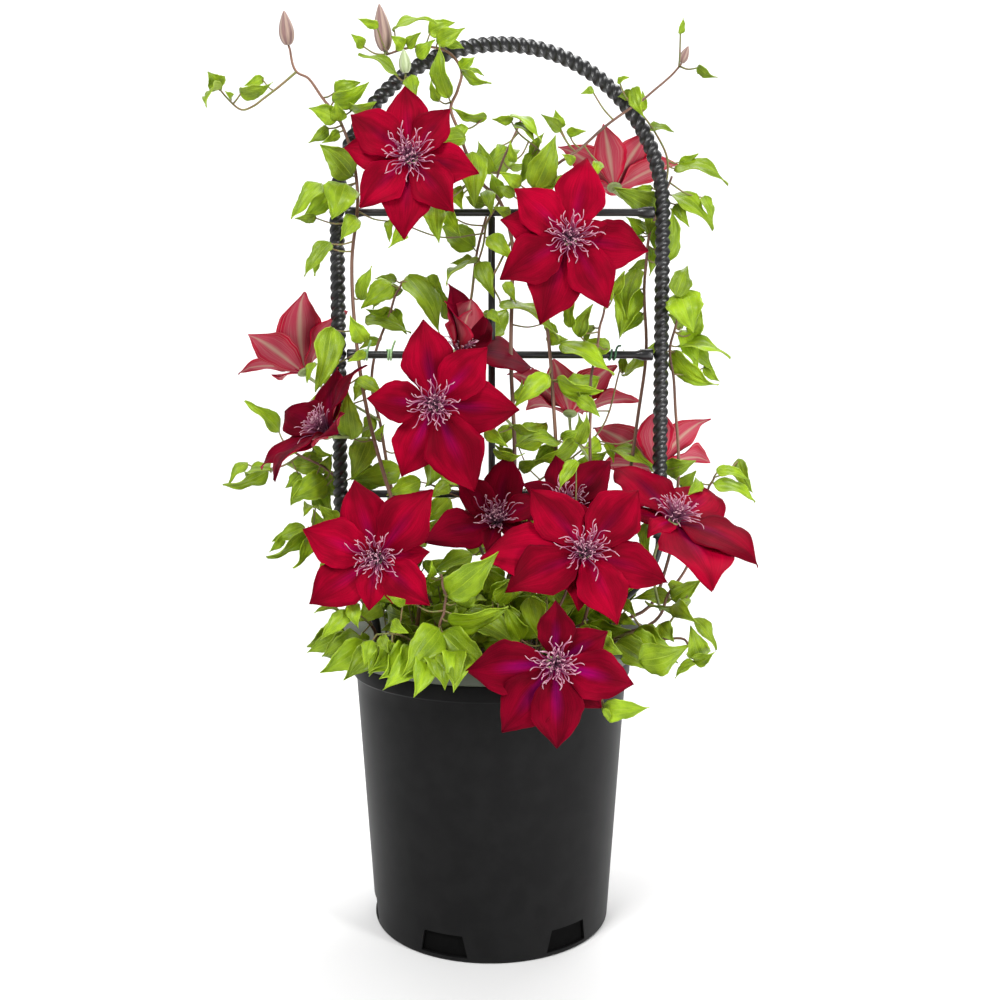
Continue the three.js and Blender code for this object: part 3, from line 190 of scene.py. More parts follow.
# %% Stems and leaves
stems = {
    "left_tall": {
        "radii": [1.7, 0.9],
        "path": [
            [-60, -30, 186], [-60, -30, 222], [-55, -32, 270], [-82, -24, 355], [-97, -20, 417],
            [-105, -19, 470], [-106, -18, 522], [-102, -18, 568], [-106, -17, 606], [-115, -15, 628],
            [-126, -12, 643], [-139, -8, 661], [-149, -5, 667], [-153, -3, 679], [-156, 0, 688],
        ],
        "side": [
            [[-149, -5, 667], [-162, -6, 656], [-175, -7, 646], [-182, -7, 641], [-191, -8, 638],
            [-203, -8, 648], [-207, -8, 653]],
        ],
        "stalks": [[[-92, -21, 397], [-107, -24, 389], [-119.5, -38.5, 388.5]]],
        "leaves": [
            [-96, -10, 387, -109, -16, 354, 22], [-122, -6, 579, -146, -9, 554, 15],
            [-102, -9, 494, -91, -16, 519, 12], [-120, -5, 652, -100, -7, 659, 13],
            [-176, 4, 665, -190, 0, 658, 7], [-101, -6, 432, -107, -12, 416, 11],
            [-78, -11, 555, -78, -11, 538, 7], [-134, -13, 556, -150, -17, 555, 7],
            [-138, -7, 446, -144, -12, 430, 7], [-116, -20, 628, -136, -28, 635, 15],
            [-114, -20, 627, -116, -28, 639, 12], [-120, -17, 642, -91, -25, 653, 12],
            [-123, -20, 622, -137, -28, 609, 8], [-115, -20, 619, -126, -28, 609, 7],
            [-106, -14, 636, -85, -40, 635, 11], [-105, -23, 585, -128, -31, 607, 23],
            [-128, -23, 580, -150, -31, 552, 15], [-110, -23, 580, -120, -31, 552, 27],
            [-102, -23, 555, -113, -31, 537, 14], [-122, -23, 536, -141, -31, 510, 14],
            [-124, -23, 534, -135, -19, 511, 8], [-96, -24, 461, -107, -32, 480, 14],
            [-96, -24, 453, -109, -32, 446, 8], [-122, -24, 472, -134, -32, 423, 20],
            [-124, -7, 428, -135, -3, 437, 9], [-125, -13, 416, -142, -9, 417, 7],
            [-107, -25, 386, -109, -33, 425, 20], [-102, -25, 433, -81, -33, 420, 11],
            [-206, -13, 653, -213, -21, 662, 15], [-206, -13, 652, -212, -39, 635, 8],
            [-197, -13, 646, -200, -21, 648, 5], [-191, -13, 649, -165, -21, 653, 9],
        ],
    },
    "left_back": {
        "radii": [1.7, 0.9],
        "path": [
            [-45, 25, 186], [-45, 25, 222], [-51, 22, 252], [-78, 18, 327], [-87, 16, 384], [-93, 15, 412],
            [-96, 14, 439], [-86, 14, 472], [-77, 13, 496], [-71, 12, 510],
        ],
        "side": [],
        "stalks": [[[-90, 15, 400], [-112, 18, 413], [-131, 24, 423], [-150.1, 26.7, 435.9]]],
        "leaves": [
            [-78, 19, 487, -100, 16, 487, 9], [-78, 26, 490, -69, 24, 469, 10],
            [-51, 20, 515, -39, 19, 503, 11], [-90, 26, 465, -107, 26, 458, 8],
            [-57, 32, 278, -40, 25, 286, 12], [-76, 25, 513, -93, 18, 513, 8],
            [-59, 27, 280, -80, 19, 299, 20], [-67, 23, 302, -43, 15, 319, 20],
            [-79, 17, 509, -103, 9, 489, 19], [-71, 17, 504, -97, 29, 491, 10],
            [-67, 17, 515, -39, 9, 470, 21], [-101, 19, 482, -64, 11, 470, 14],
            [-97, 20, 404, -105, 12, 380, 11], [-94, 21, 384, -86, 13, 397, 8],
            [-74, 21, 360, -112, 13, 352, 21], [-76, 21, 374, -57, 13, 392, 15],
            [-85, 23, 335, -58, 15, 347, 16],
        ],
    },
    "centre_tall": {
        "radii": [1.8, 0.9],
        "path": [
            [5, -22, 186], [5, -22, 222], [13, -16, 259], [17, -14, 323], [18, -13, 385], [16, -13, 447],
            [16, -12, 501], [16, -12, 539], [7, -12, 569], [-7, -12, 582], [-17, -14, 601], [-23, -14, 618],
            [-31, -14, 638], [-25, -13, 651], [-22, -12, 665], [-33, -11, 680], [-50, -11, 684],
            [-67, -11, 682], [-80, -11, 678],
        ],
        "side": [
            [[16, -12, 539], [7, -14, 522], [1, -16, 507], [7, -16, 493]],
            [[7, -12, 569], [-3, -10, 553], [-6, -8, 536], [-13, -5, 513], [-17, -4, 485]],
            [[-23, -14, 618], [-39, -17, 622], [-55, -20, 639], [-64, -22, 653], [-64, -22, 661]],
        ],
        "stalks": [
            [[18, -13, 395], [-5, -15, 420], [-19, -17, 440], [-10, -25.6, 454]],
            [[-22, -14, 615], [-38, -26, 604], [-58.8, -41.2, 593.5]],
            [[16, -12, 522], [33, -28, 531], [57.6, -46.2, 534.8]],
            [[17, -13, 413], [-8, -34, 411], [-41, -58.1, 412.8]],
            [[16, -15, 303], [11, -20, 312], [5.4, -30.9, 319.7]], [[-80, -11, 678], [-80.2, -12, 680]],
        ],
        "leaves": [
            [15, -2, 397, 7, -4, 377, 13], [-48, 2, 698, -28, -2, 705, 13], [8, -3, 572, 0, -5, 591, 13],
            [22, 0, 362, 38, -6, 369, 11], [19, -1, 416, 25, -4, 432, 7], [19, -5, 374, 3, -6, 381, 7],
            [-40, -4, 645, -46, -10, 659, 7], [7, -21, 267, -12, -29, 288, 19],
            [10, -21, 292, 27, -29, 304, 16], [-74, -16, 694, -41, -24, 699, 9],
            [-41, -16, 686, -19, -24, 693, 14], [-56, -16, 675, -42, -24, 685, 11],
            [-66, -16, 681, -74, -24, 688, 11], [-63, -16, 682, -52, -24, 690, 9],
            [-35, -16, 686, -20, -12, 683, 8], [-82, -42, 689, -96, -50, 692, 6],
            [-96, -16, 682, -104, -24, 689, 9], [-69, -33, 656, -97, -41, 670, 9],
            [-60, -27, 658, -56, -35, 636, 12], [-32, -19, 644, -39, -27, 681, 14],
            [-23, -17, 666, -12, -25, 672, 11], [-21, -23, 663, 0, -31, 651, 6],
            [-20, -17, 664, -5, -13, 663, 6], [-70, -13, 553, -74, -39, 531, 10],
            [-43, -17, 565, -40, -25, 536, 17], [-34, -15, 560, -23, -23, 541, 11],
            [-49, -43, 561, -58, -51, 543, 9], [-19, -19, 614, -57, -27, 607, 17],
            [-20, -19, 616, -26, -15, 626, 11], [-15, -19, 604, -12, -27, 562, 23],
            [-30, -17, 576, -22, -25, 561, 15], [-3, -19, 630, -29, -27, 633, 5],
            [-4, -17, 576, 0, -25, 557, 11], [-2, -13, 542, 18, -21, 522, 14],
            [-10, 2, 524, -35, -24, 506, 6], [-8, -10, 523, 2, -18, 495, 15],
            [11, -17, 507, 19, -25, 491, 9], [-2, -3, 485, 7, -11, 475, 9], [7, -21, 490, 54, -29, 466, 11],
            [17, -18, 397, 36, -26, 391, 7], [-5, -18, 393, 13, -26, 381, 11],
            [2, -18, 378, 25, -26, 374, 8], [-48, -19, 350, -50, -45, 384, 12],
            [-32, -25, 352, -47, -33, 342, 12], [-55, -19, 354, -82, -15, 342, 16],
            [42, -11, 477, 53, 1, 468, 8],
        ],
    },
    "right_top": {
        "radii": [1.7, 0.8],
        "path": [
            [25, -16, 186], [25, -16, 222], [45, -14, 259], [51, -13, 322], [51, -13, 385], [47, -13, 432],
            [43, -13, 478], [38, -14, 522], [33, -14, 565], [47, -14, 592], [68, -13, 608], [86, -13, 623],
            [109, -12, 640], [121, -9, 649], [136, -5, 662], [146, -2, 674],
        ],
        "side": [[[47, -14, 592], [37, -15, 606], [21, -16, 619], [14, -17, 630]]],
        "stalks": [],
        "leaves": [
            [32, -5, 606, 21, -8, 581, 12], [32, -5, 602, 40, -12, 620, 9], [49, -8, 380, 33, -10, 364, 13],
            [43, -8, 464, 60, -9, 464, 10], [55, 0, 386, 71, -1, 393, 10], [17, -22, 628, 1, -18, 629, 6],
            [15, -22, 631, 39, -30, 610, 9], [18, -22, 624, 34, -30, 610, 8],
            [53, -18, 620, 38, -26, 630, 9], [53, -12, 623, 49, -20, 635, 10],
            [58, -12, 620, 72, -20, 619, 7], [9, -21, 609, 2, -29, 597, 8], [18, -20, 596, 15, -28, 610, 7],
            [33, -19, 577, 48, -27, 615, 23], [23, -19, 579, 7, -27, 588, 11],
            [37, -19, 577, 54, -15, 588, 11], [18, -19, 571, 4, -15, 579, 9],
            [15, -19, 557, 2, -27, 562, 9], [63, -18, 596, 54, -26, 601, 8],
            [83, -18, 597, 78, -26, 583, 9], [77, -18, 651, 68, -26, 645, 6],
            [96, -17, 656, 104, -25, 658, 5], [110, -11, 647, 97, -7, 648, 9],
            [109, -14, 653, 115, -22, 629, 10], [139, -41, 684, 140, -49, 693, 5],
            [156, -19, 667, 168, -27, 656, 5], [44, -18, 436, 18, -26, 411, 17],
            [51, -18, 433, 86, -26, 423, 11], [59, -18, 431, 75, -14, 413, 9],
            [54, -18, 383, 19, -26, 383, 9], [67, -18, 386, 34, -14, 367, 14],
            [45, -18, 347, 10, -26, 327, 11],
        ],
    },
    "right_tall": {
        "radii": [1.7, 0.9],
        "path": [
            [56, 36, 186], [56, 36, 222], [85, 33, 235], [101, 22, 286], [111, 16, 352], [120, 15, 416],
            [124, 15, 464], [122, 15, 512], [125, 14, 543], [130, 14, 562], [137, 14, 578], [142, 12, 592],
        ],
        "side": [[[137, 14, 578], [139, 14, 605], [129, 14, 626], [117, 14, 642]]],
        "stalks": [[[135, 14, 574], [119, 24, 574], [106, 34, 579], [99.8, 37.8, 584.8]]],
        "leaves": [
            [139, 25, 537, 112, 23, 562, 15], [122, 23, 486, 106, 19, 470, 10],
            [128, 27, 539, 128, 24, 516, 10], [169, 21, 578, 176, 14, 557, 10],
            [149, 21, 604, 165, 21, 611, 7], [129, 24, 585, 112, 25, 585, 7],
            [126, 27, 527, 110, 24, 520, 8], [121, 26, 645, 120, 25, 661, 7],
            [122, 27, 550, 108, 22, 562, 11], [104, 38, 250, 125, 30, 273, 18],
            [124, 19, 631, 143, 11, 627, 8], [145, 17, 599, 187, 9, 588, 14],
            [143, 19, 579, 175, 11, 550, 16], [147, 19, 572, 156, 11, 553, 10],
            [134, 19, 565, 97, 11, 583, 22], [128, 19, 563, 124, 11, 548, 14],
            [136, 20, 526, 143, 12, 567, 18], [119, 19, 547, 113, 11, 536, 10],
            [117, 20, 520, 105, 4, 483, 16], [113, 20, 507, 103, 12, 466, 24],
            [88, 21, 384, 71, 13, 372, 13], [97, 21, 376, 135, 13, 357, 11],
        ],
    },
    "right_mid": {
        "radii": [1.6, 0.9],
        "path": [
            [78, 12, 186], [78, 12, 222], [130, 16, 249], [144, 18, 286], [151, 18, 335], [150, 16, 392],
            [146, 14, 432], [143, 12, 460], [148, 8, 481], [152, 5, 498],
        ],
        "side": [],
        "stalks": [[[151, 17, 352], [145, 28, 356], [137.4, 37.7, 357]]],
        "leaves": [
            [153, 23, 473, 167, 17, 439, 16], [159, 22, 458, 180, 23, 437, 12],
            [161, 22, 468, 169, 20, 488, 13], [155, 26, 346, 167, 23, 359, 11],
            [172, 23, 444, 185, 24, 431, 8], [154, 22, 474, 141, 20, 486, 8],
            [144, -6, 497, 155, 6, 522, 17], [148, 0, 501, 157, -8, 469, 30],
            [150, 17, 460, 191, 9, 452, 11], [145, 17, 455, 180, 9, 427, 16],
            [119, 11, 456, 107, 35, 435, 11], [138, 29, 459, 120, 21, 453, 10],
            [141, 23, 360, 165, 15, 367, 16], [126, 23, 316, 129, 15, 291, 10],
        ],
    },
    "right_reach": {
        "radii": [1.5, 0.9],
        "path": [
            [86, -14, 186], [86, -14, 222], [129, -20, 243], [141, -8, 262], [160, 4, 288], [170, 8, 320],
            [173, 4, 343], [177, 0, 355],
        ],
        "side": [],
        "stalks": [
            [[134, -15, 251], [133, -18, 253], [126, -30, 281], [127, -38, 304], [138.2, -42.2, 320.7]],
        ],
        "leaves": [
            [199, 15, 369, 210, 10, 342, 12], [144, 1, 258, 114, -4, 259, 13],
            [143, -13, 259, 165, -21, 276, 16], [178, -5, 361, 202, -13, 356, 9],
            [176, -5, 350, 208, -13, 338, 11], [166, -1, 352, 154, -17, 343, 12],
            [140, -13, 272, 160, -1, 257, 8],
        ],
    },
    "far_left": {
        "radii": [1.5, 0.9],
        "path": [
            [-80, 12, 186], [-80, 12, 222], [-76, 14, 244], [-95, 13, 299], [-114, 13, 336],
            [-134, 13, 362], [-154, 11, 372], [-166, 8, 383],
        ],
        "side": [[[-154, 11, 372], [-167, 10, 364], [-176, 9, 362]]],
        "stalks": [],
        "leaves": [
            [-197, 16, 366, -212, 9, 350, 9], [-155, 19, 357, -167, 18, 345, 11],
            [-145, 19, 378, -128, 14, 371, 8], [-137, 18, 357, -129, 12, 373, 12],
            [-88, 19, 270, -111, 11, 286, 18], [-170, 13, 391, -196, 5, 416, 10],
            [-180, 14, 360, -214, 6, 346, 11], [-173, -12, 362, -199, 12, 356, 6],
            [-137, 18, 368, -168, 22, 363, 18], [-157, 13, 383, -166, 5, 370, 11],
            [-134, 18, 353, -161, 10, 338, 24], [-131, 18, 360, -123, 42, 333, 19],
            [-110, 18, 357, -84, 22, 347, 21], [-142, 24, 343, -128, 16, 319, 16],
            [-147, 18, 350, -164, 18, 331, 16],
        ],
    },
    "low_left": {
        "radii": [1.5, 0.9],
        "path": [
            [-88, -22, 186], [-88, -22, 222], [-91, -46, 245], [-102, -50, 273], [-121, -46, 299],
            [-137, -42, 316],
        ],
        "side": [[[-91, -46, 245], [-95, -70, 256], [-101, -84, 264]]],
        "stalks": [[[-99, -49, 265], [-89, -68, 282], [-80.5, -86.3, 302.3]]],
        "leaves": [
            [-144, -29, 319, -169, -33, 308, 12], [-132, -29, 317, -137, -33, 333, 11],
            [-159, -33, 312, -170, -37, 300, 7], [-89, -55, 274, -112, -63, 287, 15],
            [-84, -51, 263, -101, -59, 250, 17], [-80, -55, 279, -69, -31, 295, 15],
            [-138, -47, 321, -168, -55, 298, 10], [-139, -47, 313, -147, -55, 290, 8],
            [-124, -51, 295, -126, -59, 284, 8], [-116, -47, 326, -129, -55, 338, 12],
            [-133, -41, 335, -138, -67, 333, 7], [-112, -77, 264, -128, -85, 263, 4],
            [-102, -89, 264, -122, -97, 245, 13], [-100, -89, 270, -95, -97, 254, 12],
            [-98, -51, 241, -100, -47, 220, 6],
        ],
    },
    "low_front": {
        "radii": [1.5, 0.9],
        "path": [
            [-32, -58, 186], [-32, -58, 222], [-40, -86, 239], [-35, -100, 259], [-32, -96, 274],
            [-36, -88, 291],
        ],
        "side": [[[-40, -86, 239], [-56, -100, 245], [-67, -110, 252], [-80, -112, 252]]],
        "stalks": [],
        "leaves": [
            [-55, -105, 273, -69, -81, 287, 17], [-15, -99, 245, -2, -87, 263, 19],
            [-24, -101, 272, -9, -97, 287, 17], [-44, -91, 238, -51, -87, 219, 16],
            [-83, -117, 249, -87, -125, 233, 11], [-76, -117, 252, -71, -125, 242, 9],
            [-69, -115, 262, -57, -123, 255, 10], [-69, -115, 247, -65, -111, 237, 6],
            [-36, -105, 255, -60, -131, 226, 24], [-37, -91, 245, -26, -99, 215, 14],
            [-34, -105, 252, 2, -113, 225, 27], [-30, -105, 260, 13, -113, 272, 18],
            [-30, -101, 278, 6, -109, 310, 24], [-18, -101, 265, 19, -89, 240, 17],
            [-43, -93, 289, -41, -101, 302, 6], [-60, -115, 274, -71, -123, 281, 7],
        ],
    },
    "front_right": {
        "radii": [1.5, 0.9],
        "path": [
            [34, -52, 186], [34, -52, 222], [38, -66, 234], [52, -58, 262], [61, -54, 288], [63, -56, 311],
        ],
        "side": [[[38, -66, 234], [54, -100, 242], [70, -120, 233], [78, -133, 209]]],
        "stalks": [
            [[58, -55, 279], [61, -54, 278], [66, -70, 293], [67.8, -84.7, 304]],
            [[41, -73, 236], [40, -72, 241], [41, -104, 243], [43.8, -138.2, 238.5]],
        ],
        "leaves": [
            [22, -71, 239, 10, -79, 266, 18], [50, -105, 247, 70, -113, 243, 16],
            [76, -125, 251, 91, -133, 243, 14], [29, -63, 270, 37, -71, 238, 18],
            [64, -61, 372, 51, -69, 351, 10], [77, -138, 205, 108, -146, 209, 16],
            [78, -144, 208, 82, -144, 198, 5], [84, -113, 255, 82, -121, 244, 5],
        ],
    },
    "mid_right": {
        "radii": [1.6, 0.9],
        "path": [
            [60, -22, 186], [60, -22, 222], [74, -24, 246], [76, -24, 308], [77, -22, 380], [77, -20, 426],
            [83, -17, 465], [87, -17, 486],
        ],
        "side": [],
        "stalks": [
            [[77, -22, 369], [71, 4, 380], [65, 34, 392], [64.6, 40.1, 401.7]],
            [[76, -24, 317], [67, -33, 327], [58, -41.9, 331.7]],
        ],
        "leaves": [
            [93, -6, 456, 73, -6, 464, 13], [96, -3, 498, 104, -3, 517, 9], [80, -4, 475, 73, -8, 459, 7],
            [88, -29, 262, 110, -37, 276, 17], [53, -22, 459, 95, -30, 437, 15],
            [61, -22, 472, 63, -30, 495, 9], [67, -22, 465, 77, -30, 489, 12],
            [67, -25, 418, 83, -33, 404, 12], [67, -27, 383, 74, -35, 406, 11],
            [88, -22, 493, 92, -30, 504, 8],
        ],
    },
    "low_right": {
        "radii": [1.4, 0.9],
        "path": [
            [78, -34, 186], [78, -34, 222], [107, -44, 233], [115, -46, 243], [130, -46, 235],
            [147, -50, 235], [155, -52, 223],
        ],
        "side": [
            [[130, -46, 235], [139, -44, 250], [146, -42, 259], [151, -40, 267]],
            [[115, -46, 243], [108, -46, 253], [100, -46, 265]],
        ],
        "stalks": [],
        "leaves": [
            [98, -51, 266, 109, -59, 255, 9], [97, -51, 253, 109, -59, 248, 9],
            [152, -45, 265, 121, -21, 256, 10], [140, -47, 262, 152, -73, 253, 14],
            [129, -49, 247, 138, -57, 235, 14], [108, -93, 229, 142, -101, 240, 25],
            [159, -57, 222, 150, -65, 248, 18], [155, -47, 251, 171, -55, 228, 11],
            [154, -57, 220, 166, -73, 230, 12], [156, -45, 217, 140, -53, 207, 6],
        ],
    },
    "back": {
        "radii": [1.7, 0.9],
        "path": [
            [0, 62, 186], [0, 62, 222], [7, 50, 247], [-18, 30, 318], [-34, 24, 384], [-27, 22, 449],
            [-17, 22, 496], [-9, 22, 544], [7, 22, 599], [23, 22, 637],
        ],
        "side": [[[-18, 30, 318], [40, 30, 351], [89, 26, 392], [104, 22, 441]]],
        "stalks": [],
        "leaves": [
            [-35, 33, 336, -56, 27, 315, 18], [-16, 44, 287, -52, 45, 272, 16],
            [71, 40, 364, 98, 36, 376, 12], [-35, 34, 482, -46, 30, 509, 12],
            [9, 58, 242, -13, 53, 252, 15], [0, 30, 597, -11, 30, 623, 12], [-5, 31, 573, -21, 31, 580, 11],
            [-16, 31, 532, -33, 30, 526, 7], [72, 37, 387, 72, 30, 405, 8], [15, 30, 601, 33, 31, 601, 7],
            [109, 37, 439, 108, 32, 457, 8], [94, 35, 381, 100, 28, 365, 8],
            [-20, 80, 250, -50, 110, 262, 26], [10, 84, 247, 22, 129, 241, 28],
            [40, 85, 250, 80, 112, 262, 26], [-60, 85, 242, -99, 92, 237, 26],
            [70, 70, 246, 112, 80, 258, 24], [0, 62, 290, -30, 80, 306, 26], [12, 56, 304, 44, 72, 320, 26],
            [-20, 40, 350, -50, 62, 366, 26], [20, 38, 380, 48, 60, 398, 24],
            [-30, 34, 430, -58, 50, 450, 24], [-10, 34, 470, 14, 54, 492, 24],
            [59, 14, 420, 89, 24, 435, 23], [-14, 36, 540, -42, 52, 560, 22], [0, 34, 600, 24, 50, 622, 20],
            [90, 50, 300, 124, 64, 318, 24], [-80, 50, 300, -112, 66, 316, 24],
        ],
    },
}
print("stems:", len(stems), "leaves:", sum(len(stem["leaves"]) for stem in stems.values()))

# %% Buds and ties
buds = {
    "bud_left": {"foot": [-156, -0.1, 688.4], "tip": [-158, -4, 713], "width": 11.5, "colour": "pink"},
    "bud_top": {"foot": [-80.3, -12, 680.4], "tip": [-84, -16, 714], "width": 12.9, "colour": "pink"},
    "bud_pale": {"foot": [-64, -22.1, 661.4], "tip": [-65, -26, 678], "width": 9, "colour": "pale"},
    "bud_right": {"foot": [146.1, -2.1, 674.4], "tip": [151, -6, 686], "width": 6.9, "colour": "pink"},
}
ties = {
    "tie_left": {"x": -99, "rung": 1, "width": 4, "colour": "pale"},
    "tie_middle": {"x": -80, "rung": 1, "width": 4, "colour": "pale"},
    "tie_right": {"x": 95, "rung": 1, "width": 7, "colour": "dark"},
}
print("buds:", len(buds), "ties:", len(ties))

# %% [markdown]
# ## Helpers for growing things
# Nothing in a plant is quite alike, yet the script has to give the same plant each time. So chance comes
# from a small formula: the same seed always draws the same number. A blade also needs a frame: the
# direction it runs, a side, and a normal that faces the viewer who stands in front of the plant.

# %% Chance and directions
UP = np.array([0.0, 0.0, 1.0])
TOWARDS_FRONT = np.array([0.0, -1.0, 0.0])


def draw(seed):
    value = math.sin(seed * 12.9898) * 43758.5453
    return value - math.floor(value)


def unit(vector):
    return vector / np.linalg.norm(vector)


def frame_along(direction, seen_from):
    normal = seen_from - direction * np.dot(seen_from, direction)
    if np.dot(normal, normal) < 1e-3:
        normal = UP - direction * np.dot(UP, direction)
    normal = unit(normal)
    return np.cross(direction, normal), normal


print("three draws:", [round(draw(seed), 3) for seed in (1, 2, 3)])

# %% [markdown]
# A shoot never runs straight from one leaf joint to the next. A Catmull-Rom curve passes through every
# point of a list and turns gently at each, which is how a twining stem looks. The centripetal kind
# doesn't loop where two points lie close together.

# %% Smooth paths


def smooth_path(points, steps_each):
    points = np.array(points, dtype=float)
    if len(points) == 2:
        shares = np.linspace(0, 1, steps_each + 1)[:, None]
        return points[0] + (points[1] - points[0]) * shares
    ends = np.vstack([2 * points[0] - points[1], points, 2 * points[-1] - points[-2]])
    path = [points[0]]
    for k in range(len(points) - 1):
        a, b, c, d = ends[k : k + 4]
        gaps = [max(np.linalg.norm(q - p) ** 0.5, 1e-3) for p, q in ((a, b), (b, c), (c, d))]
        out = ((b - a) / gaps[0] - (c - a) / (gaps[0] + gaps[1]) + (c - b) / gaps[1]) * gaps[1]
        into = ((c - b) / gaps[1] - (d - b) / (gaps[1] + gaps[2]) + (d - c) / gaps[2]) * gaps[1]
        for step in range(1, steps_each + 1):
            t = step / steps_each
            path.append(
                b
                + out * t
                + (-3 * b + 3 * c - 2 * out - into) * t**2
                + (2 * b - 2 * c + out + into) * t**3
            )
    return np.array(path)


print("path of the tallest stem:", len(smooth_path(stems["centre_tall"]["path"], 4)), "points")

# %% [markdown]
# ## Two kinds of skin
# Every plant piece here is either a round bar, such as a stalk, or a thin blade, such as a leaf. Each is
# made as a grid of points, so that its texture coordinates come free: one runs across the piece and one
# runs along it. Veins and stripes are later painted in those coordinates. A blade gets two faces and a
# rim, because a real leaf has a different colour below.

# %% Round bars


def grid_faces(rows, columns, closed):
    index = np.arange(rows * columns).reshape(rows, columns)
    if closed:
        index = np.hstack([index, index[:, :1]])
    corners = [index[:-1, :-1], index[:-1, 1:], index[1:, 1:], index[1:, :-1]]
    return np.stack(corners, axis=-1).reshape(-1, 4)


def skin_of(points, faces, finish, across, along, shade=0.5, bar=0.0):
    return {
        "points": points,
        "faces": faces,
        "finish": np.array(np.broadcast_to(finish, len(faces))),
        "across": across,
        "along": along,
        "shade": np.full(len(points), shade),
        "bar": np.full(len(points), bar),
    }


def round_coordinates(rings, sides):
    return np.tile(np.linspace(0, 1, sides), rings), np.repeat(np.linspace(0, 1, rings), sides)


def round_bar(path, radii, sides, finish=0, shade=0.5):
    path = np.array(path, dtype=float)
    radii = np.broadcast_to(radii, len(path))
    ahead = np.gradient(path, axis=0)
    reference = TOWARDS_FRONT
    rings = []
    for spot, way, radius in zip(path, ahead, radii):
        side, normal = frame_along(unit(way), reference)
        reference = normal
        turns = np.linspace(0, 2 * math.pi, sides, endpoint=False)[:, None]
        rings.append(spot + radius * (normal * np.cos(turns) + side * np.sin(turns)))
    rings = [np.repeat(path[:1], sides, 0), *rings, np.repeat(path[-1:], sides, 0)]
    faces = grid_faces(len(rings), sides, True)
    across, _ = round_coordinates(len(rings), sides)
    along = np.repeat([0, *np.linspace(0, 1, len(path)), 1], sides)
    return skin_of(np.concatenate(rings), faces, finish, across, along, shade)


print("a bar of 5 rings has", len(round_bar(np.outer(range(5), UP), 1, 6)["faces"]), "faces")

# %% Thin blades


def thin_blade(grid, across, thickness, facing, finishes=(0, 1), shade=0.5, bar=0.0):
    rows, columns = grid.shape[:2]
    lengthwise = np.gradient(grid, axis=0)
    crosswise = np.gradient(grid, axis=1)
    normal = np.cross(crosswise, lengthwise)
    normal[-1] = normal[-2]
    normal /= np.maximum(np.linalg.norm(normal, axis=2, keepdims=True), 1e-9)
    turned = np.sum(normal * facing) < 0
    if turned:
        normal = -normal
    count = rows * columns
    upper = grid_faces(rows, columns, False)
    index = np.arange(count).reshape(rows, columns)
    edge = np.concatenate([index[0], index[1:, -1], index[-1, -2::-1], index[-2:0:-1, 0]])
    following = np.roll(edge, -1)
    rim = np.stack([following, edge, edge + count, following + count], axis=-1)
    faces = np.concatenate([upper, upper[:, ::-1] + count, rim])
    if turned:
        faces = faces[:, ::-1]
    lift = normal * thickness / 2
    points = np.concatenate([(grid + lift).reshape(-1, 3), (grid - lift).reshape(-1, 3)])
    above, below = finishes
    finish = np.repeat([above, below, above], [len(upper), len(upper), len(rim)])
    across = np.tile(np.broadcast_to(across, (rows, columns)).reshape(-1), 2) * 0.5 + 0.5
    along = np.tile(np.repeat(np.linspace(0, 1, rows), columns), 2)
    return skin_of(points, faces, finish, across, along, shade, bar)


flat_grid = np.array([[[x, 0.0, z] for x in (-1, 0, 1)] for z in (0, 1, 2)])
small_blade = thin_blade(flat_grid, np.array([-1, 0, 1]), 0.5, TOWARDS_FRONT)
print("a small blade has", len(small_blade["faces"]), "faces")

# %% [markdown]
# The pots, rungs, hubs and buds are turned pieces: one outline swept round an axis. The next helper
# sweeps an outline of radius and height, and the one after it joins skins into one Blender object. It
# also hangs the object on the root body and hides the plain CAD node under it.

# %% Turned pieces


def turned_piece(outline, segments, origin=(0, 0, 0), axis=UP, finish=0, shade=0.5, ribs=None):
    outline = np.array(outline, dtype=float)
    side, normal = frame_along(np.array(axis, dtype=float), TOWARDS_FRONT)
    turns = np.linspace(0, 2 * math.pi, segments, endpoint=False)
    radius = outline[:, :1] * (np.ones(segments) if ribs is None else ribs(turns))
    around = side[None, :] * np.cos(turns)[:, None] + normal[None, :] * np.sin(turns)[:, None]
    height = outline[:, 1][:, None, None]
    points = np.array(origin) + radius[..., None] * around[None] + height * np.array(axis)
    faces = grid_faces(len(outline), segments, True)[:, ::-1]
    return skin_of(points.reshape(-1, 3), faces, finish, *round_coordinates(len(outline), segments), shade)


print("a turned cone has", len(turned_piece([[0, 0], [4, 0], [0, 9]], 12)["faces"]), "faces")


def make_piece(name, skins, finishes, nodes=()):
    starts = np.cumsum([0] + [len(skin["points"]) for skin in skins])
    points = np.concatenate([skin["points"] for skin in skins]) * METRES
    faces = np.concatenate([skin["faces"] + start for skin, start in zip(skins, starts)])
    mesh = bpy.data.meshes.new(name)
    mesh.from_pydata(points.tolist(), [], faces.tolist())
    for finish in finishes:
        mesh.materials.append(finish)
    mesh.polygons.foreach_set("material_index", np.concatenate([skin["finish"] for skin in skins]))
    mesh.polygons.foreach_set("use_smooth", np.ones(len(faces), dtype=bool))
    corner = np.empty(len(mesh.loops), dtype=np.int32)
    mesh.loops.foreach_get("vertex_index", corner)
    uv = np.stack([np.concatenate([skin[key] for skin in skins]) for key in ("across", "along")], axis=-1)
    mesh.uv_layers.new(name="growth").data.foreach_set("uv", uv[corner].reshape(-1).astype(np.float32))
    for key in ("shade", "bar"):
        values = np.concatenate([skin[key] for skin in skins]).astype(np.float32)
        mesh.attributes.new(key, "FLOAT", "POINT").data.foreach_set("value", values)
    mesh.validate()
    mesh.update()
    piece = bpy.data.objects.new(name, mesh)
    bpy.context.collection.objects.link(piece)
    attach(piece, "root")
    if nodes:
        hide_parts(*nodes)
    return piece


print("ready to make pieces")

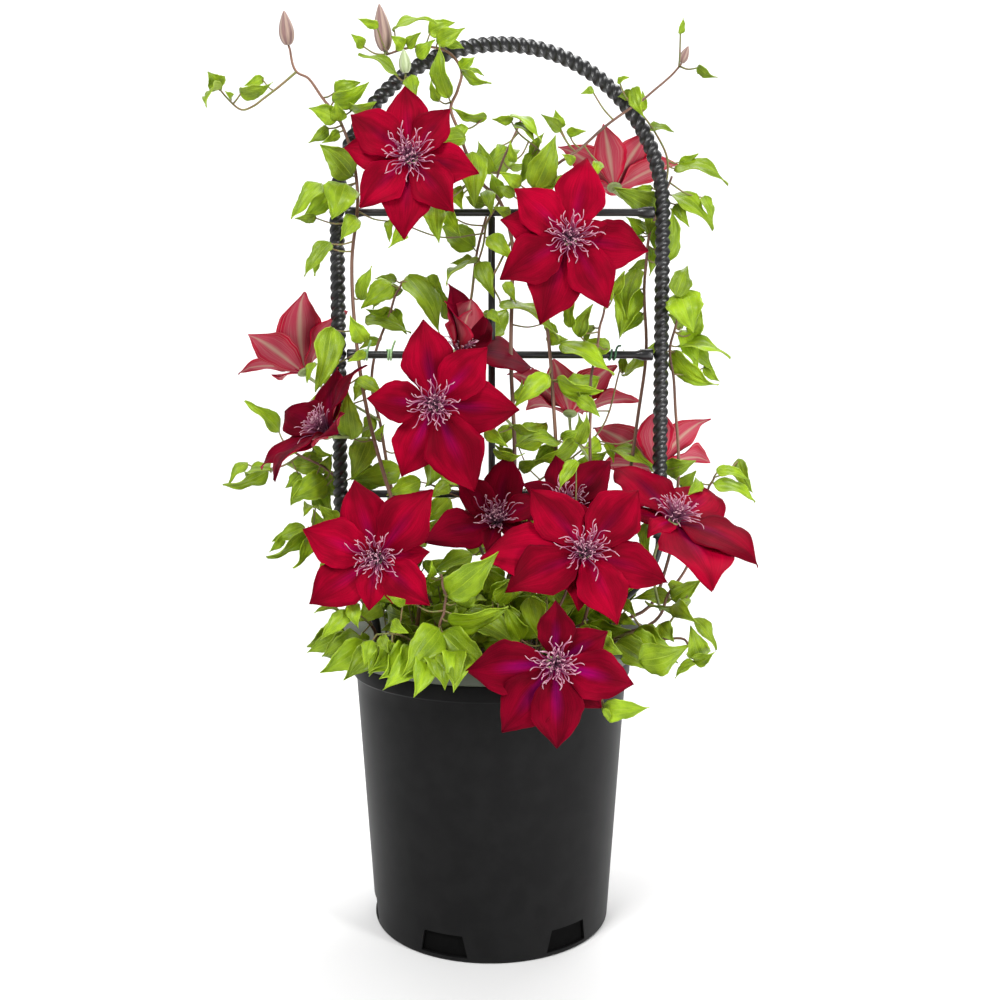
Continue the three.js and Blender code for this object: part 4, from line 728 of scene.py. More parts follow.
# %% [markdown]
# ## Finishes
# A finish is a small network of shader nodes. Four helpers keep the networks short: one starts a finish
# with its roughness and sheen, one does a sum on two values, one turns a value into a colour with a ramp,
# and one mixes two colours. All patterns are formulas in the two growth coordinates, so they follow each
# leaf and sepal however it is bent.

# %% Node helpers


def start_finish(name, roughness, sheen=0.0, sheen_tint=(1, 1, 1), coat=0.0, shine=0.5):
    finish = bpy.data.materials.new(name)
    finish.use_nodes = True
    shader = finish.node_tree.nodes["Principled BSDF"]
    shader.inputs["Roughness"].default_value = roughness
    shader.inputs["Specular IOR Level"].default_value = shine
    shader.inputs["Sheen Weight"].default_value = sheen
    shader.inputs["Sheen Tint"].default_value = (*sheen_tint, 1)
    shader.inputs["Coat Weight"].default_value = coat
    return finish, finish.node_tree, shader


def sum_of(tree, operation, first, second=0.0, limited=False):
    node = tree.nodes.new("ShaderNodeMath")
    node.operation = operation
    node.use_clamp = limited
    for socket, value in zip(node.inputs, (first, second)):
        if isinstance(value, (int, float)):
            socket.default_value = value
        else:
            tree.links.new(value, socket)
    return node.outputs[0]


def ramp_of(tree, value, stops, kind="EASE"):
    node = tree.nodes.new("ShaderNodeValToRGB")
    node.color_ramp.interpolation = kind
    ramp = node.color_ramp.elements
    while len(ramp) < len(stops):
        ramp.new(0.5)
    for element, (place, colour) in zip(ramp, stops):
        element.position = place
        element.color = (*colour, 1) if isinstance(colour, tuple) else (colour, colour, colour, 1)
    tree.links.new(value, node.inputs[0])
    return node.outputs[0]


def blend_of(tree, share, first, second, kind="MIX"):
    node = tree.nodes.new("ShaderNodeMix")
    node.data_type = "RGBA"
    node.blend_type = kind
    for socket, value in ((node.inputs[0], share), (node.inputs[6], first), (node.inputs[7], second)):
        if isinstance(value, tuple):
            socket.default_value = (*value, 1)
        elif isinstance(value, (int, float)):
            socket.default_value = value
        else:
            tree.links.new(value, socket)
    return node.outputs[2]


print("node helpers ready")

# %% Growth coordinates and streaks


def growth(tree):
    where = tree.nodes.new("ShaderNodeUVMap")
    where.uv_map = "growth"
    parts = tree.nodes.new("ShaderNodeSeparateXYZ")
    tree.links.new(where.outputs[0], parts.inputs[0])
    from_middle = sum_of(tree, "ABSOLUTE", sum_of(tree, "SUBTRACT", parts.outputs[0], 0.5))
    return parts.outputs[0], parts.outputs[1], sum_of(tree, "MULTIPLY", from_middle, 2.0)


def own_value(tree, name):
    node = tree.nodes.new("ShaderNodeAttribute")
    node.attribute_name = name
    return node.outputs["Fac"]


def streaks(tree, across, along, fine, long, detail=3.0):
    place = tree.nodes.new("ShaderNodeCombineXYZ")
    tree.links.new(sum_of(tree, "MULTIPLY", across, fine), place.inputs[0])
    tree.links.new(sum_of(tree, "MULTIPLY", along, long), place.inputs[1])
    tree.links.new(sum_of(tree, "MULTIPLY", own_value(tree, "shade"), 37.0), place.inputs[2])
    noise = tree.nodes.new("ShaderNodeTexNoise")
    noise.inputs["Scale"].default_value = 1.0
    noise.inputs["Detail"].default_value = detail
    tree.links.new(place.outputs[0], noise.inputs["Vector"])
    return noise.outputs[0]


def relief(tree, shader, height, strength, distance=0.0006):
    bump = tree.nodes.new("ShaderNodeBump")
    bump.inputs["Strength"].default_value = strength
    bump.inputs["Distance"].default_value = distance
    tree.links.new(height, bump.inputs["Height"])
    tree.links.new(bump.outputs[0], shader.inputs["Normal"])


print("growth coordinates ready")

# %% [markdown]
# ### Sepals
# What look like petals are sepals. Their inner face is velvet: crimson, darker at the tip, with three
# lengthwise ridges and a bar of purple that fades out from the centre of the bloom. The grooves along the
# ridges are darkened with painted shade, the very edge is paler, and soft patches of painted light and
# shade lie over the crimson. Blooms that lie in shade get a darker copy of the velvet, which is painted
# shade. Velvet needs a soft sheen and no gloss. Their outer face is dusty pink in the middle, striped, and
# turns crimson towards its edges.

# %% Sepal finishes


def sepal_inside(name, body, tip, bar_colour):
    finish, tree, shader = start_finish(name, 0.6, 0.04, (1.0, 0.05, 0.3), shine=0.03)
    across, along, from_middle = growth(tree)
    ground = ramp_of(tree, along, [(0.0, bar_colour), (0.16, body), (0.7, body), (1.0, tip)])
    middle = ramp_of(tree, from_middle, [(0.0, 1.0), (0.34, 0.0)])
    near = ramp_of(tree, along, [(0.25, 1.0), (0.78, 0.0)])
    share = sum_of(tree, "MULTIPLY", sum_of(tree, "MULTIPLY", middle, near), own_value(tree, "bar"), True)
    barred = blend_of(tree, share, ground, bar_colour)
    # Painted shade: the midrib groove and the two side grooves are darkened; the very edge is paler.
    groove_shade_and_pale_edge = ramp_of(
        tree,
        from_middle,
        [(0.0, 0.84), (0.05, 1.0), (0.22, 1.0), (0.27, 0.88), (0.32, 1.0), (0.95, 1.0), (1.0, 1.3)],
        "LINEAR",
    )
    fibre = ramp_of(tree, streaks(tree, across, along, 44.0, 2.6), [(0.3, 0.84), (0.7, 1.1)])
    tone = ramp_of(tree, own_value(tree, "shade"), [(0.0, 0.75), (1.0, 1.2)], "LINEAR")
    # Painted light and shade: soft patches darken and lighten the velvet across each sepal.
    patches = ramp_of(tree, streaks(tree, across, along, 2.4, 1.8, 2.0), [(0.32, 0.66), (0.68, 1.3)])
    barred = blend_of(tree, 1.0, barred, patches, "MULTIPLY")
    shaded = blend_of(tree, 1.0, blend_of(tree, 1.0, barred, groove_shade_and_pale_edge, "MULTIPLY"), fibre, "MULTIPLY")
    tree.links.new(blend_of(tree, 1.0, shaded, tone, "MULTIPLY"), shader.inputs["Base Color"])
    relief(tree, shader, sum_of(tree, "MULTIPLY", groove_shade_and_pale_edge, fibre), 0.3)
    return finish


def sepal_outside(name, middle_colour, side_colour, edge_colour, stripe_colour):
    finish, tree, shader = start_finish(name, 0.7, 0.06, (1.0, 0.5, 0.6), shine=0.1)
    across, along, from_middle = growth(tree)
    bands = [(0.0, middle_colour), (0.22, side_colour), (0.5, side_colour), (0.85, edge_colour)]
    ground = ramp_of(tree, from_middle, bands)
    stripes = ramp_of(tree, streaks(tree, across, along, 34.0, 1.3), [(0.46, 0.0), (0.62, 1.0)])
    striped = blend_of(tree, sum_of(tree, "MULTIPLY", stripes, 0.55), ground, stripe_colour)
    tree.links.new(striped, shader.inputs["Base Color"])
    relief(tree, shader, stripes, 0.25)
    return finish


velvets = {
    "crimson": sepal_inside("crimson velvet", (0.235, 0, 0.013), (0.19, 0, 0.01), (0.19, 0, 0.055)),
    # The darker copy of the crimson velvet is painted shade, for the blooms that lie in shade.
    "maroon": sepal_inside("crimson velvet darkened as painted shade", (0.125, 0, 0.008), (0.09, 0, 0.007), (0.1, 0, 0.035)),
    "deep": sepal_inside("deep crimson velvet", (0.145, 0, 0.009), (0.12, 0, 0.008), (0.2, 0, 0.075)),
    "rose": sepal_inside("rear crimson velvet", (0.33, 0.001, 0.022), (0.28, 0, 0.018), (0.25, 0, 0.07)),
}
dusty_reverse = sepal_outside(
    "dusty pink reverse", (0.56, 0.32, 0.25), (0.42, 0.08, 0.10), (0.36, 0.003, 0.025), (0.30, 0.03, 0.05)
)
rose_reverse = sepal_outside(
    "pale pink reverse", (0.52, 0.30, 0.24), (0.48, 0.05, 0.09), (0.44, 0.002, 0.028), (0.50, 0.16, 0.17)
)
print("sepal finishes: 6")

# %% [markdown]
# ### Leaves and stems
# A living leaf is yellow-green above, with paler veins that leave its foot together and arch to its tip.
# In the growth coordinates an arched vein is simply a line at a constant share of the leaf's half width.
# The underside is paler and duller. Young stems are green and older ones reddish brown, in long patches.

# %% Leaf finishes


def leaf_finish(name, deep, bright, vein, roughness, coat):
    finish, tree, shader = start_finish(name, roughness, coat=coat, shine=0.22)
    shader.inputs["Coat Roughness"].default_value = 0.45
    across, along, from_middle = growth(tree)
    patches = ramp_of(tree, streaks(tree, across, along, 3.0, 3.0, 2.0), [(0.3, deep), (0.72, bright)])
    tone = ramp_of(tree, own_value(tree, "shade"), [(0.0, 0.5), (0.5, 0.95), (1.0, 1.25)], "LINEAR")
    ground = blend_of(tree, 1.0, patches, tone, "MULTIPLY")
    lines = ramp_of(
        tree,
        from_middle,
        [(0.0, 1.0), (0.045, 0.0), (0.33, 0.0), (0.36, 0.7), (0.39, 0.0), (0.66, 0.0), (0.69, 0.45),
         (0.72, 0.0), (0.94, 0.0), (1.0, 0.55)],
        "LINEAR",
    )
    net = tree.nodes.new("ShaderNodeTexVoronoi")
    net.feature = "DISTANCE_TO_EDGE"
    net.inputs["Scale"].default_value = 15.0
    spot = tree.nodes.new("ShaderNodeCombineXYZ")
    tree.links.new(across, spot.inputs[0])
    tree.links.new(sum_of(tree, "MULTIPLY", along, 1.6), spot.inputs[1])
    tree.links.new(own_value(tree, "shade"), spot.inputs[2])
    tree.links.new(spot.outputs[0], net.inputs["Vector"])
    netting = ramp_of(tree, net.outputs[0], [(0.0, 0.3), (0.08, 0.0)], "LINEAR")
    share = sum_of(tree, "MAXIMUM", lines, netting)
    veined = blend_of(tree, sum_of(tree, "MULTIPLY", share, 0.75), ground, vein)
    tree.links.new(veined, shader.inputs["Base Color"])
    relief(tree, shader, sum_of(tree, "SUBTRACT", 1.0, share), 0.55)
    return finish


leaf_above = leaf_finish(
    "leaf upper side", (0.15, 0.25, 0.003), (0.27, 0.41, 0.006), (0.40, 0.54, 0.03), 0.36, 0.2
)
leaf_below = leaf_finish(
    "leaf underside", (0.26, 0.38, 0.03), (0.38, 0.52, 0.07), (0.50, 0.64, 0.16), 0.6, 0.0
)
print("leaf finishes: 2")

# %% Stem finishes


def stem_finish(name, first, second, roughness):
    finish, tree, shader = start_finish(name, roughness)
    across, along, _ = growth(tree)
    patch = streaks(tree, across, along, 1.5, 9.0)
    colour = ramp_of(tree, patch, [(0.35, first), (0.65, second)])
    tree.links.new(colour, shader.inputs["Base Color"])
    relief(tree, shader, streaks(tree, across, along, 8.0, 40.0), 0.3)
    return finish


woody_stem = stem_finish("reddish brown stem", (0.10, 0.045, 0.03), (0.24, 0.12, 0.075), 0.6)
green_stem = stem_finish("green stalk", (0.16, 0.20, 0.035), (0.22, 0.12, 0.06), 0.55)
pale_stalk = stem_finish("flower stalk", (0.28, 0.36, 0.14), (0.24, 0.28, 0.10), 0.55)
print("stem finishes: 3")

# %% [markdown]
# ### Stamens and buds
# Each filament is dark purple at its foot, mauve along its length and pale at its tip. Buds are downy: a
# strong sheen over dusty pink ribs, or over pale green on the youngest one.

# %% Stamen and bud finishes
stamen_finish, tree, shader = start_finish("stamen filament", 0.5, 0.2)
across, along, _ = growth(tree)
foot_to_tip = [(0.0, (0.04, 0.003, 0.03)), (0.22, (0.17, 0.015, 0.09))]
foot_to_tip += [(0.7, (0.38, 0.10, 0.20)), (1.0, (0.62, 0.36, 0.42))]
tree.links.new(ramp_of(tree, along, foot_to_tip), shader.inputs["Base Color"])
boss_heart, tree, shader = start_finish("dark heart of the boss", 0.6, 0.2)
across, along, _ = growth(tree)
specks = [(0.3, (0.05, 0.004, 0.03)), (0.7, (0.16, 0.02, 0.09))]
speckled = ramp_of(tree, streaks(tree, across, along, 30.0, 30.0), specks)
tree.links.new(speckled, shader.inputs["Base Color"])


def bud_finish(name, rib, furrow):
    finish, tree, shader = start_finish(name, 0.7, 0.45, (1.0, 0.9, 0.85))
    across, along, _ = growth(tree)
    lobes = sum_of(tree, "SINE", sum_of(tree, "MULTIPLY", across, 6 * 2 * math.pi))
    lobes = sum_of(tree, "ADD", sum_of(tree, "MULTIPLY", lobes, 0.5), 0.5)
    ground = ramp_of(tree, lobes, [(0.2, furrow), (0.8, rib)])
    fibre = ramp_of(tree, streaks(tree, across, along, 40.0, 3.0), [(0.3, 0.75), (0.7, 1.1)])
    tree.links.new(blend_of(tree, 1.0, ground, fibre, "MULTIPLY"), shader.inputs["Base Color"])
    relief(tree, shader, fibre, 0.3)
    return finish


dusky_bud = bud_finish("dusky bud", (0.38, 0.26, 0.21), (0.22, 0.12, 0.11))
pale_bud = bud_finish("pale green bud", (0.52, 0.60, 0.36), (0.36, 0.44, 0.22))
print("stamen and bud finishes: 4")

# %% [markdown]
# ### Pots, soil, rod and ties
# The outer pot is black moulded plastic with a satin shine, so it shows long soft lights. The grower's
# pot inside it is matt grey-green at its rim; below the rim, where the drain notches show it, it is
# painted near-black as shade. The trellis is steel with a thick black coat. The soil is peat with bark,
# so its colour has to change every few millimetres. Plain rough-and-smooth noise in object space does for
# all four.

# %% Hard finishes


def noisy_finish(name, first, second, scale, roughness, bump=0.15, coat=0.0, detail=4.0, shine=0.5):
    finish, tree, shader = start_finish(name, roughness, coat=coat, shine=shine)
    place = tree.nodes.new("ShaderNodeTexCoord")
    noise = tree.nodes.new("ShaderNodeTexNoise")
    noise.inputs["Scale"].default_value = scale
    noise.inputs["Detail"].default_value = detail
    tree.links.new(place.outputs["Object"], noise.inputs["Vector"])
    colour = ramp_of(tree, noise.outputs[0], [(0.35, first), (0.65, second)])
    tree.links.new(colour, shader.inputs["Base Color"])
    relief(tree, shader, noise.outputs[0], bump, 0.001)
    return finish


black_plastic = noisy_finish(
    "satin black plastic", (0.0065, 0.0065, 0.0067), (0.0085, 0.0085, 0.0087), 60, 0.42, 0.02, shine=0.09
)
grey_plastic = noisy_finish("grey-green plastic", (0.05, 0.06, 0.038), (0.07, 0.082, 0.055), 25, 0.5, 0.05)
# Painted shade: a near-black matt plastic for the grower's pot where it stands only in shade.
painted_shade_black = noisy_finish(
    "black plastic painted as shade", (0.003, 0.003, 0.003), (0.004, 0.004, 0.004), 60, 0.9, 0.02, shine=0.05
)
rod_coat = noisy_finish(
    "black rod coat", (0.006, 0.006, 0.0065), (0.010, 0.010, 0.011), 180, 0.36, 0.12, 0.1
)
peat = noisy_finish("peat", (0.012, 0.008, 0.005), (0.075, 0.045, 0.026), 220, 0.95, 0.8, detail=8.0)
bark = noisy_finish("bark chips", (0.09, 0.05, 0.03), (0.26, 0.16, 0.09), 160, 0.9, 0.6)
pale_tie = noisy_finish("pale green tie", (0.30, 0.52, 0.22), (0.38, 0.60, 0.28), 300, 0.5, 0.2)
dark_tie = noisy_finish("dark green tie", (0.02, 0.09, 0.035), (0.04, 0.14, 0.06), 300, 0.5, 0.2)
print("hard finishes: 8")

# %% [markdown]
# ## The black pot
# A nursery pot is moulded in one piece: a slightly tapered wall, a collar that stands proud round its
# top, and drain notches cut through the wall at its foot. Turning an outline makes the wall, and a
# Boolean cuts the notches the way the mould's slides do. The outline rounds each corner a little, since
# no moulded edge is sharp.

# %% The black pot
COLLAR_FOOT = POT_HEIGHT - COLLAR_HEIGHT


def body_radius(z):
    return POT_FOOT_RADIUS + (POT_BODY_RADIUS - POT_FOOT_RADIUS) * z / COLLAR_FOOT


pot_outline = [[0, 0], [60, 0], [POT_FOOT_RADIUS - 3, 0], [POT_FOOT_RADIUS - 0.6, 0.5]]
pot_outline += [[POT_FOOT_RADIUS, 1.6]]
pot_outline += [[body_radius(z), z] for z in np.linspace(2.5, COLLAR_FOOT - 1, 22)]
pot_outline += [[body_radius(COLLAR_FOOT) + 0.3, COLLAR_FOOT], [COLLAR_RADIUS - 0.8, COLLAR_FOOT + 0.5]]
pot_outline += [[COLLAR_RADIUS, COLLAR_FOOT + 1.6]]
pot_outline += [[COLLAR_RADIUS, POT_HEIGHT - 1.8], [COLLAR_RADIUS - 0.5, POT_HEIGHT - 0.5]]
pot_outline += [[COLLAR_RADIUS - 1.5, POT_HEIGHT], [body_radius(POT_HEIGHT) - POT_WALL, POT_HEIGHT]]
pot_outline += [[body_radius(POT_FLOOR) - POT_WALL, POT_FLOOR], [0, POT_FLOOR]]
pot_skin = turned_piece(pot_outline, 160)
black_pot = make_piece("black_pot", [pot_skin], [black_plastic], ["outer_pot"])

# %% Drain notches
NOTCHES = 6
cutter_mesh = bpy.data.meshes.new("notch cutter")
corners, sides = [], []
box_sides = ((3, 2, 1, 0), (4, 5, 6, 7), (0, 1, 5, 4), (1, 2, 6, 5), (2, 3, 7, 6), (3, 0, 4, 7))
for k in range(NOTCHES):
    angle = math.radians(-82 + 360 / NOTCHES * k - 90)
    out = np.array([math.cos(angle), math.sin(angle)])
    round_the_pot = np.array([-math.sin(angle), math.cos(angle)])
    first = len(corners)
    for z, half in ((POT_FLOOR + 0.8, 19.0), (21.0, 15.5)):
        for reach, hand in ((86, -1), (104, -1), (104, 1), (86, 1)):
            corners.append((*(out * reach + round_the_pot * half * hand), z))
    sides += [[first + c for c in side] for side in box_sides]
cutter_mesh.from_pydata((np.array(corners) * METRES).tolist(), [], sides)
cutter = bpy.data.objects.new("notch cutter", cutter_mesh)
bpy.context.collection.objects.link(cutter)
cut = black_pot.modifiers.new("drain notches", "BOOLEAN")
cut.operation = "DIFFERENCE"
cut.object = cutter
cut.solver = "EXACT"
cut_pot = black_pot.evaluated_get(bpy.context.evaluated_depsgraph_get())
cut_mesh = bpy.data.meshes.new_from_object(cut_pot)
black_pot.modifiers.clear()
black_pot.data = cut_mesh
bpy.data.objects.remove(cutter)
black_pot.data.shade_smooth()
black_pot.data.set_sharp_from_angle(angle=math.radians(35))
print("black pot faces:", len(black_pot.data.polygons))

# %% [markdown]
# ## The grower's pot and the soil
# The plant still stands in the pot it was grown in, and only its flared, rolled rim shows above the black
# one. The soil is a low mound. A few waves of different length make it uneven, and loose crumbs and bark
# lie on top. Each crumb is an eight-sided lump pushed out of shape, so that no two look alike.

# %% The grower's pot
LINER_FOOT = POT_FLOOR + 0.4
LINER_WALL = 1.5


def liner_radius(z):
    return body_radius(z) - POT_WALL - 0.6


liner_top = liner_radius(POT_HEIGHT)
liner_outline = [[0, LINER_FOOT], [liner_radius(LINER_FOOT), LINER_FOOT], [liner_top, POT_HEIGHT + 0.3]]
liner_outline += [[112.6, POT_HEIGHT + 0.5], [113.8, POT_HEIGHT + 2], [114.6, POT_HEIGHT + 4]]
liner_outline += [[119.0, POT_HEIGHT + 8.6], [125.2, RIM_HEIGHT - 4.6], [127.6, RIM_HEIGHT - 3.4]]
liner_outline += [[RIM_RADIUS, RIM_HEIGHT - 2.0], [128.3, RIM_HEIGHT - 0.8], [127.2, RIM_HEIGHT]]
liner_outline += [[125.6, RIM_HEIGHT - 0.1], [123.0, RIM_HEIGHT - 1.4], [116.5, POT_HEIGHT + 9.5]]
liner_outline += [[111, POT_HEIGHT + 4.5], [liner_top - LINER_WALL, POT_HEIGHT + 1]]
liner_outline += [[liner_radius(LINER_FOOT) - LINER_WALL, LINER_FOOT + LINER_WALL]]
liner_outline += [[0, LINER_FOOT + LINER_WALL]]
liner_skin = turned_piece(liner_outline, 128)
# Painted shade: below its rim the grower's pot is near-black, so the drain notches look dark inside.
painted_shade_faces = 2 * 128
liner_skin["finish"][:painted_shade_faces] = 1
grower_pot = make_piece("grower_pot", [liner_skin], [grey_plastic, painted_shade_black], ["inner_pot"])
grower_pot.data.set_sharp_from_angle(angle=math.radians(50))
print("rim stands", round(RIM_HEIGHT - POT_HEIGHT, 1), "mm above the black pot")

# %% The soil
chance = np.random.default_rng(11)
soil_edge = liner_radius(SOIL_HEIGHT - 4) - 2.3
rings = np.linspace(1, 0.012, 46)
turns = np.linspace(0, 2 * math.pi, 132, endpoint=False)
reach, turn = np.meshgrid(rings * soil_edge, turns, indexing="ij")
x, y = reach * np.cos(turn), reach * np.sin(turn)
waves = 1.3 * np.sin(x / 9.1 + 1.7 * np.sin(y / 13)) + 1.1 * np.sin(y / 7.3 + x / 21)
waves = waves + 0.5 * np.sin(x / 2.9) * np.sin(y / 2.3)
mound = SOIL_HEIGHT - 2.2 - 2.0 * (reach / soil_edge) ** 2 + waves * 0.75 + chance.normal(0, 0.35, x.shape)
top_rings = np.stack([x, y, mound], axis=-1)
foot_ring = np.stack([x[0] * 0.86, y[0] * 0.86, np.full(len(turns), 5.6)], axis=-1)
middle = np.repeat([[0, 0, 5.6]], len(turns), 0)
soil_points = np.concatenate([middle, foot_ring, top_rings.reshape(-1, 3)])
ring_count = 2 + len(rings)
soil_faces = grid_faces(ring_count, len(turns), True)
soil_skin = skin_of(soil_points, soil_faces, 0, *round_coordinates(ring_count, len(turns)))


CRUMBS = 620
LUMP_OUTLINE = [[0, -1], [0.75, -0.6], [1, 0.1], [0.6, 0.75], [0, 1]]


def lump(centre, size, flat, finish):
    skin = turned_piece(LUMP_OUTLINE, 6, (0, 0, 0), UP, finish, chance.random())
    shape = skin["points"] * (1 + chance.normal(0, 0.16, (len(skin["points"]), 1)))
    spin = chance.random() * 2 * math.pi
    sine, cosine = math.sin(spin), math.cos(spin)
    turn_flat = np.array([[cosine, -sine, 0], [sine, cosine, 0], [0, 0, 1]])
    skin["points"] = (shape * size * np.array([1.0, 0.7, flat])) @ turn_flat.T + centre
    return skin


crumbs = []
for k in range(CRUMBS):
    away, angle = soil_edge * 0.97 * math.sqrt(chance.random()), chance.random() * 2 * math.pi
    size = 1.2 + 2.4 * chance.random() ** 2
    height = SOIL_HEIGHT - 1.6 - 2.0 * (away / soil_edge) ** 2
    centre = np.array([away * math.cos(angle), away * math.sin(angle), height + 0.2 * size])
    is_bark = chance.random() < 0.22
    crumbs.append(lump(centre, size * 1.7, 0.4, 1) if is_bark else lump(centre, size, 0.8, 0))
make_piece("crumbly_soil", [soil_skin, *crumbs], [peat, bark], ["soil"])
print("crumbs and chips on the soil:", len(crumbs))

# %% [markdown]
# ## The trellis
# The arch is one square rod, twisted cold so that its corners run round it like a screw, then bent. A
# section with its corners cut is carried along the rod's line and turned a little at each step. Near the
# foot the twist stops and the plain legs bend in to fit the pot. Plain rungs sit between the legs in
# small sleeves.

# %% The twisted arch
LEG_QUARTER = RUNG_SPACING / 15
LEG_QUARTERS = (ARCH_CENTRE_Z - 306) / LEG_QUARTER
ARCH_QUARTERS = 54
LEG_RADIUS = 3.2


def rod_place(quarters):
    if quarters <= 0:
        height = ARCH_CENTRE_Z + quarters * LEG_QUARTER
        return np.array([TRELLIS_X - ARCH_RADIUS, 0, height]), np.array([1.0, 0, 0])
    if quarters >= ARCH_QUARTERS:
        height = ARCH_CENTRE_Z - (quarters - ARCH_QUARTERS) * LEG_QUARTER
        return np.array([TRELLIS_X + ARCH_RADIUS, 0, height]), np.array([-1.0, 0, 0])
    angle = math.pi * (1 - quarters / ARCH_QUARTERS)
    outward = np.array([math.cos(angle), 0, math.sin(angle)])
    return np.array([TRELLIS_X, 0, ARCH_CENTRE_Z]) + outward * ARCH_RADIUS, -outward


def twisted_rod():
    total = 2 * LEG_QUARTERS + ARCH_QUARTERS
    steps = int(total * 6)
    corner = ((-12, 0.87), (0, 0.95), (12, 0.87), (45, 0.66))
    section = [(math.radians(90 * k + turn), share) for k in range(4) for turn, share in corner]
    points = []
    for step_number in range(steps + 1):
        quarters = -LEG_QUARTERS + total * step_number / steps
        spot, inward = rod_place(quarters)
        half = ROD_SIDE / 2 * math.sqrt(2) * (0.45 if step_number in (0, steps) else 1)
        twist = math.radians(90 * quarters)
        for angle, share in section:
            turned = inward * math.cos(twist + angle) - TOWARDS_FRONT * math.sin(twist + angle)
            points.append(spot + half * share * turned)
    sides = len(section)
    caps = [[0, 4, 8, 12], [len(points) - sides + c for c in (12, 8, 4, 0)]]
    faces = np.concatenate([grid_faces(steps + 1, sides, True), caps])
    return skin_of(np.array(points), faces, 0, *round_coordinates(steps + 1, sides))


def lower_leg(side):
    stations = [(ARCH_RADIUS, 314), (ARCH_RADIUS, 298), (119, 276), (96, 246)]
    stations += [(LEG_HALF_SPAN, z) for z in (222, 190, 150)]
    spread = ARCH_RADIUS - LEG_HALF_SPAN
    points = [(TRELLIS_X * (reach - LEG_HALF_SPAN) / spread + side * reach, 0, z) for reach, z in stations]
    return round_bar(smooth_path(points, 6), LEG_RADIUS, 14)


rod_skins = [twisted_rod(), lower_leg(-1), lower_leg(1)]
arch = make_piece("twisted_arch", rod_skins, [rod_coat], ["trellis_arch"])
arch.data.set_sharp_from_angle(angle=math.radians(60))

# %% Rungs and uprights
RUNG_REACH = ARCH_RADIUS - ROD_SIDE / 2 * math.sqrt(2) - 0.3
SLEEVE = RUNG_RADIUS + 1.6
half_rung = [[0, 0], [SLEEVE - 0.6, 0], [SLEEVE, 0.7], [SLEEVE - 0.1, 8], [SLEEVE - 0.8, 10.5]]
half_rung += [[RUNG_RADIUS + 0.2, 12.5]]
for k in range(3):
    z = ARCH_CENTRE_Z - RUNG_SPACING * k
    left = [[radius, -RUNG_REACH + place] for radius, place in half_rung]
    right = [[radius, RUNG_REACH - place] for radius, place in reversed(half_rung)]
    middle = [[RUNG_RADIUS, place] for place in np.linspace(-RUNG_REACH + 14, RUNG_REACH - 14, 24)]
    skin = turned_piece(left + middle + right, 20, (TRELLIS_X, 0, z), (1.0, 0, 0))
    make_piece(f"fine_rung_{k + 1}", [skin], [rod_coat], [f"rung_{k + 1}"])
for k in range(2):
    top = ARCH_CENTRE_Z - RUNG_SPACING * k - RUNG_RADIUS - 0.3
    bottom = ARCH_CENTRE_Z - RUNG_SPACING * (k + 1) + RUNG_RADIUS + 0.3
    outline = [[0, bottom], [2.3, bottom], [2.8, bottom + 0.6], [2.8, top - 0.6], [2.3, top], [0, top]]
    skin = turned_piece(outline, 16, (TRELLIS_X - 6.5, 0, 0))
    make_piece(f"fine_upright_{k + 1}", [skin], [rod_coat], [f"upright_{k + 1}"])
print("rungs are", round(2 * RUNG_REACH), "mm long")

# %% [markdown]
# ## Ties
# Soft ties hold the stems to the middle rung. Each is a strip wound twice round the rod, with a short
# loose end.

# %% Ties
for name, tie in ties.items():
    z = ARCH_CENTRE_Z - RUNG_SPACING * tie["rung"]
    winding = []
    for step_number in range(49):
        turn = 2 * math.pi * step_number / 24
        spot = [tie["x"] + tie["width"] * (step_number / 48 - 0.5), 0, z]
        winding.append(np.array(spot) + 3.9 * np.array([0, math.sin(turn), math.cos(turn)]))
    end = winding[-1]
    tail = [end, end + np.array([1, -2.5, 2.5]), end + np.array([3, -5, 3 if name == "tie_right" else 7])]
    skins = [round_bar(winding, 0.9, 8), round_bar(smooth_path(tail, 5), 0.8, 8)]
    finish = dark_tie if tie["colour"] == "dark" else pale_tie
    make_piece(f"wound_{name}", skins, [finish], [name])
print("ties wound:", len(ties))

# %% [markdown]
# ## Leaves
# A leaf of this climber is egg-shaped and drawn out to a point. It is folded a little along its midrib,
# bowed along its length, and its edges wave. The outline is a short table of widths that is read off
# smoothly. Where a leaf shows narrower from the front than it is long for, it has turned about its
# midrib, so it is rolled by the angle that makes it look that narrow.

# %% One leaf
LEAF_OUTLINE = [(0, 0.08), (0.04, 0.46), (0.1, 0.76), (0.18, 0.94), (0.28, 1.0), (0.4, 0.96), (0.52, 0.82),
                (0.64, 0.62), (0.75, 0.42), (0.84, 0.25), (0.91, 0.13), (0.96, 0.06), (1.0, 0.01)]


